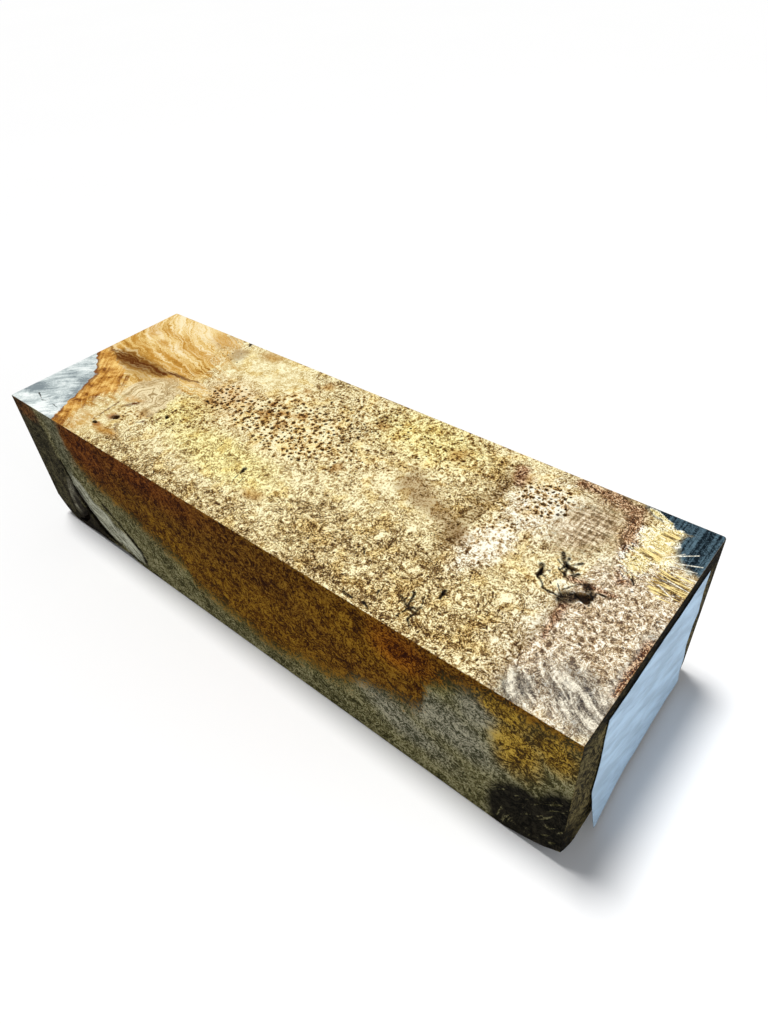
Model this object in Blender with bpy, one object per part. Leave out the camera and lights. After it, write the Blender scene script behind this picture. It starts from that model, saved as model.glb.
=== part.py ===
"""Amboyna burl turning blank: one sawn block of burl wood with a paper label on its right end.

Metres, +Z up. The block lies along X and the origin is the middle of its sawn underside.
The front is the -Y side, and the label is on the +X end.
"""

import math
import random

import bmesh
import bpy
from mathutils import Matrix, Vector, noise

# Driving dimensions of the block
LENGTH = 0.300
WIDTH = 0.0988
HEIGHT = 0.0736
EDGE_CHAMFER = 0.0005
WORN_CORNER_RADIUS = 0.0025

# Natural outer surface, left where the saw missed the lower corners:
# (end, side, rise at the corner, reach along X, reach along Y, fullness)
WANE_CORNERS = (
    (-1, -1, 0.0130, 0.0150, 0.0340, 2.0),
    (1, -1, 0.0098, 0.0275, 0.0145, 1.8),
    (1, 1, 0.0110, 0.0400, 0.0050, 2.0),
)
# Shallow hollows along the lower front edge: (middle in X, rise, half length)
EDGE_HOLLOWS = ((-0.0950, 0.0030, 0.0160), (-0.1220, 0.0017, 0.0200))
HOLLOW_REACH = 0.022
LUMP_SIZE = 0.009
LUMP_HEIGHT = 0.0012
WANE_CLEARANCE = 0.0004

# Areas of the underside that hold wane: (x from, x to, y from, y to, step along X, step along Y)
WANE_AREAS = (
    (-0.155, -0.055, -0.053, -0.012, 0.0040, 0.0041),
    (0.119, 0.155, -0.053, -0.032, 0.0036, 0.0035),
    (0.106, 0.155, 0.0435, 0.053, 0.0049, 0.0019),
)

# Bark-lined cracks in the front: stations of (x, depth below the top, width, depth into the wood)
CRACKS = (
    (
        (-0.1255, 0.026, 0.0006, 0.0008),
        (-0.1240, 0.034, 0.0022, 0.0025),
        (-0.1225, 0.043, 0.0026, 0.0035),
        (-0.1200, 0.050, 0.0036, 0.0045),
        (-0.1155, 0.057, 0.0048, 0.0055),
        (-0.1105, 0.063, 0.0046, 0.0045),
        (-0.1040, 0.067, 0.0034, 0.0030),
        (-0.0980, 0.069, 0.0010, 0.0010),
    ),
    (
        (-0.1190, 0.058, 0.0010, 0.0012),
        (-0.1215, 0.063, 0.0024, 0.0026),
        (-0.1270, 0.068, 0.0026, 0.0024),
        (-0.1330, 0.070, 0.0008, 0.0008),
    ),
    (
        (-0.0980, 0.045, 0.0006, 0.0008),
        (-0.0930, 0.047, 0.0018, 0.0018),
        (-0.0880, 0.050, 0.0024, 0.0024),
        (-0.0820, 0.055, 0.0018, 0.0020),
        (-0.0765, 0.060, 0.0020, 0.0020),
        (-0.0745, 0.066, 0.0018, 0.0016),
        (-0.0740, 0.069, 0.0006, 0.0008),
    ),
)
CRACK_OUTSIDE = 0.0015

# Open voids in the top: (x, y, length along X, width along Y, depth)
TOP_VOIDS = (
    (0.1246, -0.0032, 0.0064, 0.0038, 0.0016),
    (0.1082, -0.0020, 0.0026, 0.0048, 0.0014),
    (0.1150, 0.0060, 0.0062, 0.0030, 0.0016),
    (0.0855, -0.0400, 0.0048, 0.0022, 0.0010),
    (0.0882, -0.0290, 0.0018, 0.0030, 0.0010),
    (-0.0906, -0.0310, 0.0030, 0.0030, 0.0016),
    (-0.0956, -0.0386, 0.0030, 0.0018, 0.0012),
    (-0.0710, -0.0176, 0.0022, 0.0018, 0.0012),
    (-0.0140, -0.0240, 0.0018, 0.0026, 0.0010),
)
VOID_SIDES = 9

# Clusters of open pores in the top: (x, y, half length, half width, number, radius)
PORE_CLUSTERS = (
    (-0.0600, 0.0080, 0.0110, 0.0095, 16, 0.0009),
    (-0.0320, 0.0060, 0.0180, 0.0110, 30, 0.0009),
    (-0.0060, 0.0180, 0.0190, 0.0110, 26, 0.0008),
    (0.0100, 0.0310, 0.0220, 0.0100, 18, 0.0007),
    (0.0900, 0.0300, 0.0110, 0.0110, 20, 0.0008),
)
PORE_SIDES = 6
PORE_DEPTH = 0.0013
PORE_SPACING = 0.0029
ABOVE_TOP = 0.0006
SEED = 11

# Paper label on the right end, measured across Y and down from the top
LABEL_NEAR = -0.0345
LABEL_FAR = 0.0400
LABEL_TOP = 0.0062
LABEL_BOTTOM = 0.0708
LABEL_THICKNESS = 0.0004
LABEL_GAP = 0.0003
LABEL_LIFT = 0.0031
LABEL_BEND_FROM = 0.050
LABEL_COLUMNS = 14
LABEL_ROWS = 12


def clear_scene():
    for obj in list(bpy.data.objects):
        bpy.data.objects.remove(obj, do_unlink=True)


def material(name, colour, roughness):
    made = bpy.data.materials.new(name)
    made.use_nodes = True
    shader = made.node_tree.nodes["Principled BSDF"]
    shader.inputs["Base Color"].default_value = (*colour, 1.0)
    shader.inputs["Roughness"].default_value = roughness
    shader.inputs["Metallic"].default_value = 0.0
    return made


def object_from(bm, name):
    """Puts a bmesh into a new object, with its faces turned outwards."""
    bmesh.ops.recalc_face_normals(bm, faces=bm.faces)
    mesh = bpy.data.meshes.new(name)
    bm.to_mesh(mesh)
    bm.free()
    obj = bpy.data.objects.new(name, mesh)
    bpy.context.scene.collection.objects.link(obj)
    return obj


def cutter_from(bm, name):
    obj = object_from(bm, name)
    obj.hide_render = True
    obj.display_type = "WIRE"
    return obj


def cut(target, cutter):
    modifier = target.modifiers.new(cutter.name, "BOOLEAN")
    modifier.operation = "DIFFERENCE"
    modifier.solver = "EXACT"
    modifier.object = cutter


def grid_body(bm, columns, rows, upper, lower):
    """A closed body between two surfaces, each a function of column and row."""
    sheets = []
    for surface in (upper, lower):
        sheets.append(
            [[bm.verts.new(surface(i, j)) for i in range(columns + 1)] for j in range(rows + 1)]
        )
    for sheet in sheets:
        for j in range(rows):
            for i in range(columns):
                bm.faces.new((sheet[j][i], sheet[j][i + 1], sheet[j + 1][i + 1], sheet[j + 1][i]))
    top, base = sheets
    rim = [(0, i) for i in range(columns)]
    rim += [(j, columns) for j in range(rows)]
    rim += [(rows, i) for i in range(columns, 0, -1)]
    rim += [(j, 0) for j in range(rows, 0, -1)]
    for here, there in zip(rim, rim[1:] + rim[:1]):
        a, b = top[here[0]][here[1]], top[there[0]][there[1]]
        c, d = base[there[0]][there[1]], base[here[0]][here[1]]
        bm.faces.new((a, b, c, d))


def wane_height(x, y):
    """Height of the natural surface above the sawn underside, 0 where the saw reached."""
    height = 0.0
    for end, side, rise, along, across, fullness in WANE_CORNERS:
        from_end = abs(end * LENGTH / 2 - x)
        from_side = abs(side * WIDTH / 2 - y)
        nearness = 1.0 - from_end / along - from_side / across
        height = max(height, rise * max(0.0, nearness) ** fullness)
    from_front = max(0.0, y + WIDTH / 2)
    for middle, rise, half in EDGE_HOLLOWS:
        fade = max(0.0, 1.0 - from_front / HOLLOW_REACH) ** 1.5
        height += rise * fade * math.exp(-(((x - middle) / half) ** 2))
    lump = noise.noise(Vector((x, y, 0.0)) / LUMP_SIZE)
    share = min(1.0, height / LUMP_HEIGHT)
    return height + LUMP_HEIGHT * lump * share * 0.6


def wane_cutter(number, area):
    """Everything under the natural surface in one area of the underside."""
    x_from, x_to, y_from, y_to, step_x, step_y = area
    columns = round((x_to - x_from) / step_x)
    rows = round((y_to - y_from) / step_y)

    def place(i, j):
        return x_from + (x_to - x_from) * i / columns, y_from + (y_to - y_from) * j / rows

    def surface(i, j):
        x, y = place(i, j)
        return Vector((x, y, wane_height(x, y) - WANE_CLEARANCE))

    def base(i, j):
        x, y = place(i, j)
        return Vector((x, y, -0.008))

    bm = bmesh.new()
    grid_body(bm, columns, rows, surface, base)
    return cutter_from(bm, f"wane_cutter_{number}")


def crack_cutter(number, stations):
    """A V-shaped trough in the front face along the stations."""
    bm = bmesh.new()
    front = -WIDTH / 2
    sections = []
    for index, (x, below, width, depth) in enumerate(stations):
        before = stations[max(0, index - 1)]
        after = stations[min(len(stations) - 1, index + 1)]
        run = Vector((after[0] - before[0], before[1] - after[1])).normalized()
        across = Vector((-run.y, run.x))
        half = width / 2 * (depth + CRACK_OUTSIDE) / depth
        z = HEIGHT - below
        sections.append(
            (
                bm.verts.new((x + across.x * half, front - CRACK_OUTSIDE, z + across.y * half)),
                bm.verts.new((x - across.x * half, front - CRACK_OUTSIDE, z - across.y * half)),
                bm.verts.new((x, front + depth, z)),
            )
        )
    for here, there in zip(sections, sections[1:]):
        for k in range(3):
            bm.faces.new((here[k], here[(k + 1) % 3], there[(k + 1) % 3], there[k]))
    bm.faces.new(sections[0])
    bm.faces.new(sections[-1])
    return cutter_from(bm, f"crack_cutter_{number}")


def add_pit(bm, x, y, half_x, half_y, depth, sides, draw, jitter):
    """A tapered pit from just above the top down into the wood, with an uneven rim."""
    pit = bmesh.ops.create_cone(
        bm, cap_ends=True, segments=sides, radius1=0.45, radius2=1.0, depth=1.0
    )
    for vertex in pit["verts"]:
        uneven = 1.0 + draw.uniform(-jitter, jitter)
        vertex.co.x = x + vertex.co.x * half_x * uneven
        vertex.co.y = y + vertex.co.y * half_y * uneven
        above = vertex.co.z > 0.0
        vertex.co.z = HEIGHT + (ABOVE_TOP if above else -depth)


def void_cutter(draw):
    bm = bmesh.new()
    for x, y, length, width, depth in TOP_VOIDS:
        add_pit(bm, x, y, length / 2, width / 2, depth, VOID_SIDES, draw, 0.22)
    return cutter_from(bm, "top_void_cutter")


def pore_places(draw):
    """Pores scattered in their clusters, clear of each other and of the larger voids."""
    taken = [(x, y) for x, y, *_ in TOP_VOIDS]
    pores = []
    for x_mid, y_mid, half_x, half_y, number, radius in PORE_CLUSTERS:
        placed = 0
        for _ in range(60 * number):
            if placed == number:
                break
            turn = draw.uniform(0.0, 2.0 * math.pi)
            reach = math.sqrt(draw.random())
            x = x_mid + half_x * reach * math.cos(turn)
            y = y_mid + half_y * reach * math.sin(turn)
            if all(math.hypot(x - a, y - b) > PORE_SPACING for a, b in taken):
                taken.append((x, y))
                pores.append((x, y, radius * draw.uniform(0.8, 1.2)))
                placed += 1
    return pores


def pore_cutter(draw):
    bm = bmesh.new()
    for x, y, radius in pore_places(draw):
        slim = radius * draw.uniform(0.75, 1.0)
        add_pit(bm, x, y, radius, slim, PORE_DEPTH, PORE_SIDES, draw, 0.12)
    return cutter_from(bm, "pore_cutter")


def sawn_blank():
    """The rectangular blank, its far right upright edge worn round and the others barely eased."""
    bm = bmesh.new()
    bmesh.ops.create_cube(bm, size=1.0)
    bmesh.ops.scale(bm, vec=(LENGTH, WIDTH, HEIGHT), verts=bm.verts)
    bmesh.ops.translate(bm, vec=(0.0, 0.0, HEIGHT / 2), verts=bm.verts)
    worn = [
        edge
        for edge in bm.edges
        if all(v.co.x > 0.0 and v.co.y > 0.0 for v in edge.verts)
    ]
    bmesh.ops.bevel(
        bm, geom=worn, offset=WORN_CORNER_RADIUS, segments=4, profile=0.5, affect="EDGES"
    )
    sharp = [edge for edge in bm.edges if edge.calc_face_angle() > math.radians(60)]
    bmesh.ops.bevel(
        bm, geom=sharp, offset=EDGE_CHAMFER, segments=1, profile=0.5, affect="EDGES"
    )
    return object_from(bm, "burl_block")


def burl_block():
    draw = random.Random(SEED)
    block = sawn_blank()
    block.data.materials.append(material("burl_wood", (0.42, 0.28, 0.11), 0.6))
    cutters = [wane_cutter(number, area) for number, area in enumerate(WANE_AREAS, 1)]
    cutters += [crack_cutter(number, stations) for number, stations in enumerate(CRACKS, 1)]
    cutters += [void_cutter(draw), pore_cutter(draw)]
    for cutter in cutters:
        cut(block, cutter)
    return block


def label_lift(across, down):
    """How far the back of the paper stands off the end face.

    across runs from the near edge, 0, to the far edge, 1; down is the depth below the top.
    """
    bend = max(0.0, (down - LABEL_BEND_FROM) / (LABEL_BOTTOM - LABEL_BEND_FROM))
    share = 0.28 + 0.12 * (1.0 - across) + 0.60 * (1.0 - across) ** 4
    return LABEL_GAP + LABEL_LIFT * bend**1.6 * share


def paper_label():
    """Thin paper stuck to the end face, its lower edge come away and curling out."""
    end = LENGTH / 2

    def place(i, j):
        across, fall = i / LABEL_COLUMNS, j / LABEL_ROWS
        down = LABEL_TOP + (LABEL_BOTTOM - LABEL_TOP) * fall
        down += 0.0006 * math.sin(7.0 * across)
        wave = 0.0009 * math.sin(9.0 * fall + 1.0)
        y = LABEL_NEAR + (LABEL_FAR - LABEL_NEAR) * across + wave
        return across, down, y

    def face(i, j):
        across, down, y = place(i, j)
        return Vector((end + label_lift(across, down) + LABEL_THICKNESS, y, HEIGHT - down))

    def back(i, j):
        across, down, y = place(i, j)
        return Vector((end + label_lift(across, down), y, HEIGHT - down))

    bm = bmesh.new()
    grid_body(bm, LABEL_COLUMNS, LABEL_ROWS, face, back)
    label = object_from(bm, "paper_label")
    label.data.materials.append(material("label_paper", (0.80, 0.84, 0.88), 0.75))
    label.data.shade_smooth()
    label.data.set_sharp_from_angle(angle=math.radians(40))
    return label


def main():
    clear_scene()
    burl_block()
    paper_label()


main()
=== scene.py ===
"""Amboyna burl turning blank: the figured wood, the paper label, and a plain stage to show them on.

Metres, +Z up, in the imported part's own frame. Patterns are measured in millimetres on each face.
"""

import math
import random

import bpy
from mathutils import Matrix, Vector, noise


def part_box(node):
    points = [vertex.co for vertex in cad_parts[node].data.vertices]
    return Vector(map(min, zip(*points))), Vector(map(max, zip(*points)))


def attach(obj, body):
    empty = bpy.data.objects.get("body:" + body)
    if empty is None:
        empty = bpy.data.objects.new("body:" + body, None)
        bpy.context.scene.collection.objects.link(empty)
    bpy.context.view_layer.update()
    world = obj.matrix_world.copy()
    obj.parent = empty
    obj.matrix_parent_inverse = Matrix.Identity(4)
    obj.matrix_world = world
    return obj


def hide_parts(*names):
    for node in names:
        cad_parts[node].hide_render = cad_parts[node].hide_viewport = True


bl_info = {
    "name": "Amboyna Burl Blank",
    "version": (1, 0, 0),
    "blender": (4, 5, 0),
    "location": "3D View > Sidebar > Burl Blank",
    "description": "Builds a figured burl turning blank with a paper label on its end",
    "category": "Object",
}

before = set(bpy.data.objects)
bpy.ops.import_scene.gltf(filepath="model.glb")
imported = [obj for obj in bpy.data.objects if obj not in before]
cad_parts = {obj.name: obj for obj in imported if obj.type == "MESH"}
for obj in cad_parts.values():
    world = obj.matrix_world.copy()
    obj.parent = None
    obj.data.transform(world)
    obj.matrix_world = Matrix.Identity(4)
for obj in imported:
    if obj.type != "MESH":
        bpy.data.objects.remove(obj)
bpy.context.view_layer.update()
WOOD_LOW, WOOD_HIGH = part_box("burl_block")
PAPER_LOW, PAPER_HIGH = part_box("paper_label")
TOP = WOOD_HIGH.z
FRONT = WOOD_LOW.y
BACK = WOOD_HIGH.y
LEFT = WOOD_LOW.x
RIGHT = WOOD_HIGH.x
MM = 0.001
SEED = 11

# Natural outer surface at the lower corners: (end, side, rise, reach along X, reach along Y, fullness)
WANE_CORNERS = (
    (-1, -1, 0.0130, 0.0150, 0.0340, 2.0),
    (1, -1, 0.0098, 0.0275, 0.0145, 1.8),
    (1, 1, 0.0110, 0.0400, 0.0050, 2.0),
)
# Shallow hollows along the lower front edge: (middle in X, rise, half length)
EDGE_HOLLOWS = ((-0.0950, 0.0030, 0.0160), (-0.1220, 0.0017, 0.0200))
HOLLOW_REACH = 0.022
# Areas of the underside that hold wane: (x from, x to, y from, y to)
WANE_AREAS = (
    (-0.155, -0.055, -0.053, -0.012),
    (0.119, 0.155, -0.053, -0.032),
    (0.106, 0.155, 0.0435, 0.053),
)
WANE_STEP = 0.0012
# The sheet that cuts it lies this much low, clear of the wood where the saw reached, and is this thick
WANE_SUNK = 0.0004
WANE_THICK = 0.02
# Lumps of the natural surface: (depth, size), and the rise over which they fade in
WANE_LUMPS = ((0.0007, 0.009), (0.00025, 0.0025))
WANE_FADE = 0.0012

# Bark-lined cracks in the front: stations of (x, depth below the top, half width) in millimetres
CRACKS = (
    (
        (-125.5, 26, 0.3), (-124, 34, 1.1), (-122.5, 43, 1.3), (-120, 50, 1.8), (-115.5, 57, 2.4),
        (-110.5, 63, 2.3), (-104, 67, 1.7), (-98, 69, 0.5),
    ),
    ((-119, 58, 0.5), (-121.5, 63, 1.2), (-127, 68, 1.3), (-133, 70, 0.4)),
    (
        (-98, 45, 0.3), (-93, 47, 0.9), (-88, 50, 1.2), (-82, 55, 0.9), (-76.5, 60, 1.0),
        (-74.5, 66, 0.9), (-74, 69, 0.3),
    ),
)
# How much deeper than wide a crack is, its steps between stations, and its jitter in millimetres
CRACK_DEEPER = 1.9
CRACK_STEPS = 6
CRACK_JITTER = 0.25

# Open voids in the top: (x, y, length along X, width along Y, depth) in millimetres
TOP_VOIDS = (
    (124.6, -3.2, 6.4, 3.8, 1.5), (108.2, -2.0, 2.2, 4.8, 1.4), (115.0, 6.0, 6.2, 2.2, 1.6),
    (85.5, -40.0, 4.8, 1.2, 1.0), (88.2, -29.0, 1.4, 3.0, 1.0), (-90.6, -31.0, 2.4, 2.8, 1.6),
    (-95.6, -38.6, 3.0, 1.4, 1.2), (-71.0, -17.6, 2.0, 1.6, 1.2), (-14.0, -24.0, 1.4, 2.4, 1.0),
)

# The label's side edges: (share of the way down, near edge, far edge) in millimetres
PAPER_SIDES = (
    (0.0, -34.3, 37.6), (0.15, -33.9, 37.2), (0.27, -33.2, 38.8), (0.37, -32.8, 40.4), (0.46, -33.0, 38.4),
    (0.62, -33.7, 38.0), (0.80, -32.2, 40.6), (0.90, -32.0, 39.8), (1.0, -32.6, 40.2),
)

# How far the stuck paper stands off the wood, how far its top lies below its solid's, and how much
# shorter than its solid it is
PAPER_STUCK = 0.0003
PAPER_TOP_GAP = 0.0002
PAPER_SHORT = 0.0012

# Clusters of open pores: (x, y, half length, half width, turn in degrees, number, radius) in millimetres
PORE_CLUSTERS = (
    (-60, 9, 11, 10, -20, 48, 0.98),
    (-38, 8, 13, 12, -10, 56, 1.02),
    (-8, 17, 22, 11, -15, 84, 0.80),
    (-18, 1, 24, 9, -5, 66, 0.90),
    (4, 33, 26, 11, -8, 60, 0.66),
    (14, 8, 14, 12, -20, 24, 0.60),
    (42, 34, 18, 12, 0, 40, 0.55),
    (91, 31, 10.5, 9.5, 0, 60, 0.74),
    (84, 12, 9, 13, 10, 34, 0.36),
    (60, 30, 14, 14, 0, 34, 0.34),
    (-70, -22, 12, 9, 0, 10, 0.42),
    (-88, 34, 10, 6, 0, 7, 0.40),
)
PORE_SIDES = 10
PORE_DEPTH = 1.2
# Smallest and largest pore of a cluster, as shares of its radius
PORE_SIZES = (0.45, 1.3)
# How far apart two pores stay, as a multiple of their radii together
PORE_CLEARANCE = 1.38
# Pores gather in clumps: the scale of the noise, and the value below which none lie
PORE_CLUMP_SCALE = 0.2
PORE_CLUMP_FLOOR = -0.22
# No pore lies further than this from the middle line, in millimetres
PORE_LIMIT = 48.0
VOID_SIDES = 40
VOID_RAGGED = 0.55
# One pore, of unit radius: how wide its dished rim is, then how far each ring shrinks and drops
PIT_RIM = 1.32
PIT_RINGS = ((1.0 / PIT_RIM, -0.08), (0.86, -0.34), (0.62, -0.60))

# Rounding of the upright edge at the far right, and of every other sharp edge
WORN_EDGE = 0.0012
EASED_EDGE = 0.0004

# The stage's fixed parts
FLOOR_SIZE = 24.0
KEY_COLOUR = (1.0, 0.985, 0.95)
KEY_TOWARDS = (-0.24, 0.03, 1.0)
FILL_COLOUR = (0.92, 0.96, 1.0)
FILL_SIZE = (0.5, 0.3)
FILL_AT = (0.75, 0.10, 0.30)


# Properties


def colour(name, description, default):
    return bpy.props.FloatVectorProperty(
        name=name, description=description, subtype="COLOR", size=3, min=0.0, max=1.0, default=default
    )


class BlankWood(bpy.types.PropertyGroup):
    """Colours and fine sizes of the wood."""

    pale: colour("Pale", "Lightest flecks of the figured top", (0.97, 0.92, 0.62))
    cream: colour("Cream", "Light ground of the top", (0.74, 0.62, 0.33))
    gold: colour("Gold", "Middle tone of the top", (0.54, 0.39, 0.15))
    # Brown and umber also darken the pore and void walls with depth: partly their own colour, partly painted
    # shade
    brown: colour("Brown", "Darker flecks of the top", (0.25, 0.138, 0.044))
    umber: colour("Umber", "Darkest flecks and pore walls", (0.05, 0.026, 0.012))
    amber: colour("Amber", "Flowing orange-brown figure at the left", (0.56, 0.26, 0.042))
    russet: colour("Russet", "Red-brown stains", (0.33, 0.115, 0.035))
    slate: colour("Slate", "Blue-grey stain of the far right corner", (0.10, 0.17, 0.22))
    ash: colour("Ash", "Grey-white sapwood of the near left corner", (0.54, 0.615, 0.625))
    charcoal: colour("Charcoal", "Black inclusions", (0.007, 0.005, 0.004))
    heart_dark: colour("Heartwood dark", "Dark flecks of the sawn sides", (0.022, 0.005, 0.0005))
    heart: colour("Heartwood", "Ground of the sawn sides", (0.132, 0.047, 0.0015))
    heart_light: colour("Heartwood light", "Light flecks of the sawn sides", (0.29, 0.145, 0.018))
    sap_dark: colour("Sapwood dark", "Dark flecks of the lower sides", (0.032, 0.029, 0.009))
    sap: colour("Sapwood", "Ground of the lower sides", (0.145, 0.130, 0.048))
    sap_light: colour("Sapwood light", "Light flecks of the lower sides", (0.38, 0.35, 0.19))
    bark: colour("Bark", "Bark left in the cracks and at the wane", (0.020, 0.014, 0.009))
    saw_pitch: bpy.props.FloatProperty(
        name="Saw pitch", description="Spacing of the saw lines", default=0.0021, unit="LENGTH"
    )


class BlankPaper(bpy.types.PropertyGroup):
    """The label stuck to the right end."""

    # The paper's colour is white paper with painted shade: dimmed and tinted blue as in shade under a blue
    # sky
    face: colour("Paper", "Colour of the paper", (0.50, 0.68, 0.86))
    thickness: bpy.props.FloatProperty(
        name="Thickness", description="Thickness of the paper", default=0.00012, unit="LENGTH"
    )
    lift: bpy.props.FloatProperty(
        name="Lift", description="How far the lower edge stands off the wood", default=0.0033, unit="LENGTH"
    )
    wrinkle: bpy.props.FloatProperty(
        name="Wrinkle", description="Height of the shallow wrinkles", default=0.00022, unit="LENGTH"
    )


class BlankStage(bpy.types.PropertyGroup):
    """Floor, light and camera."""

    camera_at: bpy.props.FloatVectorProperty(
        name="Camera", description="Where the camera stands", subtype="XYZ", unit="LENGTH",
        default=(0.18294, -0.15413, 0.25039),
    )
    camera_to: bpy.props.FloatVectorProperty(
        name="Aim", description="The point at the middle of the view", subtype="XYZ", unit="LENGTH",
        default=(0.04738, -0.00920, 0.07360),
    )
    roll: bpy.props.FloatProperty(
        name="Roll", description="Turn of the camera about its view", default=math.radians(-4.775),
        unit="ROTATION",
    )
    lens: bpy.props.FloatProperty(
        name="Lens", description="Focal length in millimetres on a 36 mm high frame", default=25.542
    )
    floor_colour: colour("Floor", "Plain pale floor", (0.885, 0.895, 0.92))
    key_strength: bpy.props.FloatProperty(
        name="Key light", description="Strength of the soft key light", default=2.95
    )
    key_spread: bpy.props.FloatProperty(
        name="Key spread", description="Apparent width of the key light", default=math.radians(14.0),
        unit="ROTATION",
    )
    ambient: bpy.props.FloatProperty(
        name="Ambient", description="Strength of the even light from all round", default=0.22
    )
    fill_power: bpy.props.FloatProperty(
        name="Fill", description="Power of the fill light on the label end, in watts", default=1.2
    )


# Short calls that build shader nodes


class Graph:
    """Builds one node tree. Every call adds nodes and returns the output that they give."""

    def __init__(self, tree):
        self.tree = tree

    def feed(self, socket, value):
        """Links an output to the socket, or sets the socket's own value."""
        if isinstance(value, bpy.types.NodeSocket):
            self.tree.links.new(value, socket)
        elif socket.type == "RGBA" and len(value) == 3:
            socket.default_value = (*value, 1.0)
        else:
            socket.default_value = value

    def add(self, kind, inputs=None, output=0, **settings):
        """One node, with its settings and inputs."""
        node = self.tree.nodes.new(kind)
        for name, value in settings.items():
            setattr(node, name, value)
        for key, value in (inputs or {}).items():
            self.feed(node.inputs[key], value)
        return node.outputs[output]

    def apply(self, group, inputs, output=0):
        """One of the shared groups, with this material's own values."""
        node = self.tree.nodes.new("ShaderNodeGroup")
        node.node_tree = group
        for key, value in inputs.items():
            self.feed(node.inputs[key], value)
        return node.outputs[output]

    def math(self, operation, first, second=0.0, third=0.0):
        inputs = {0: first, 1: second, 2: third}
        return self.add("ShaderNodeMath", inputs, operation=operation)

    def held(self, value):
        """The value, held between 0 and 1."""
        return self.math("MINIMUM", self.math("MAXIMUM", value, 0.0), 1.0)

    def product(self, *values):
        found = values[0]
        for value in values[1:]:
            found = self.math("MULTIPLY", found, value)
        return found

    def larger(self, first, second):
        return second if first is None else self.math("MAXIMUM", first, second)

    def varied(self, start, *parts):
        """A start value, shifted by patterns round 0.5, each with its weight."""
        found = start
        for value, weight in parts:
            found = self.math("MULTIPLY_ADD", self.math("SUBTRACT", value, 0.5), weight, found)
        return found

    def vector(self, operation, first, second=(0.0, 0.0, 0.0), output=0):
        inputs = {0: first, 1: second}
        return self.add("ShaderNodeVectorMath", inputs, output, operation=operation)

    def scaled(self, first, factor):
        inputs = {0: first, "Scale": factor}
        return self.add("ShaderNodeVectorMath", inputs, operation="SCALE")

    def turned(self, position, angle):
        inputs = {"Vector": position, "Angle": angle}
        return self.add("ShaderNodeVectorRotate", inputs, rotation_type="Z_AXIS")

    def part(self, position, index):
        return self.add("ShaderNodeSeparateXYZ", {0: position}, index)

    def joined(self, first, second, third=0.0):
        return self.add("ShaderNodeCombineXYZ", {0: first, 1: second, 2: third})

    def remap(self, value, low, high, to_low=0.0, to_high=1.0):
        """A smooth step from one value to another, level past both ends."""
        inputs = {"Value": value, 1: low, 2: high, 3: to_low, 4: to_high}
        return self.add("ShaderNodeMapRange", inputs, interpolation_type="SMOOTHSTEP", clamp=False)

    def noise(self, position, scale, detail=2.0, rough=0.5, output="Fac", solid=False):
        inputs = {"Vector": position, "Scale": scale, "Detail": detail, "Roughness": rough}
        size = "3D" if solid else "2D"
        return self.add("ShaderNodeTexNoise", inputs, output, noise_dimensions=size)

    def mix(self, factor, first, second, blend="MIX"):
        inputs = {0: factor, 6: first, 7: second}
        return self.add("ShaderNodeMix", inputs, 2, data_type="RGBA", blend_type=blend)

    def blend(self, factor, first, second):
        inputs = {0: factor, 2: first, 3: second}
        return self.add("ShaderNodeMix", inputs, 0, data_type="FLOAT")

    def ramp(self, value, *stops):
        """A colour ramp through (place, colour) stops."""
        node = self.tree.nodes.new("ShaderNodeValToRGB")
        self.feed(node.inputs[0], value)
        elements = node.color_ramp.elements
        elements[1].position = stops[-1][0]
        elements[0].position = stops[0][0]
        for place, _ in stops[1:-1]:
            elements.new(place)
        for element, (_, tone) in zip(elements, stops):
            element.color = (*tone, 1.0)
        return node.outputs[0]

    def follow(self, value, points):
        """A value read off a smooth curve through (value, result) points."""
        node = self.tree.nodes.new("ShaderNodeFloatCurve")
        curve = node.mapping.curves[0]
        start, end = points[0][0], points[-1][0]
        low = min(result for _, result in points)
        high = max(result for _, result in points)
        for index, (place, result) in enumerate(points):
            spot = ((place - start) / (end - start), (result - low) / (high - low))
            if index in (0, len(points) - 1):
                curve.points[0 if index == 0 else -1].location = spot
            else:
                curve.points.new(*spot)
        node.mapping.update()
        share = self.math("DIVIDE", self.math("SUBTRACT", value, start), end - start)
        self.feed(node.inputs["Value"], share)
        return self.math("MULTIPLY_ADD", node.outputs[0], high - low, low)

    def millimetres(self):
        """Object coordinates in millimetres."""
        return self.scaled(self.add("ShaderNodeTexCoord", output="Object"), 1.0 / MM)


def new_group(name, inputs, outputs):
    """A shader node group with its sockets: returns the tree, its graph, its inputs and its output node."""
    tree = bpy.data.node_groups.new(name, "ShaderNodeTree")
    for socket, kind, default in inputs:
        made = tree.interface.new_socket(socket, in_out="INPUT", socket_type=f"NodeSocket{kind}")
        made.default_value = default
    for socket, kind in outputs:
        tree.interface.new_socket(socket, in_out="OUTPUT", socket_type=f"NodeSocket{kind}")
    enter = tree.nodes.new("NodeGroupInput")
    leave = tree.nodes.new("NodeGroupOutput")
    return tree, Graph(tree), enter.outputs, leave.inputs


def wander_group():
    """Shifts a position by soft noise, so that drawn shapes get the uneven edges of grown ones."""
    tree, graph, enter, leave = new_group(
        "Wandering position",
        (("Position", "Vector", (0, 0, 0)), ("Broad", "Float", 3.0), ("Fine", "Float", 1.0)),
        (("Position", "Vector"),),
    )
    moved = enter["Position"]
    for scale, detail, amount in ((0.045, 1.0, "Broad"), (0.24, 3.0, "Fine")):
        drift = graph.noise(enter["Position"], scale, detail, 0.55, output="Color")
        drift = graph.vector("SUBTRACT", drift, (0.5, 0.5, 0.5))
        drift = graph.scaled(drift, graph.math("MULTIPLY", enter[amount], 4.0))
        moved = graph.vector("ADD", moved, drift)
    graph.feed(leave[0], moved)
    return tree


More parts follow.
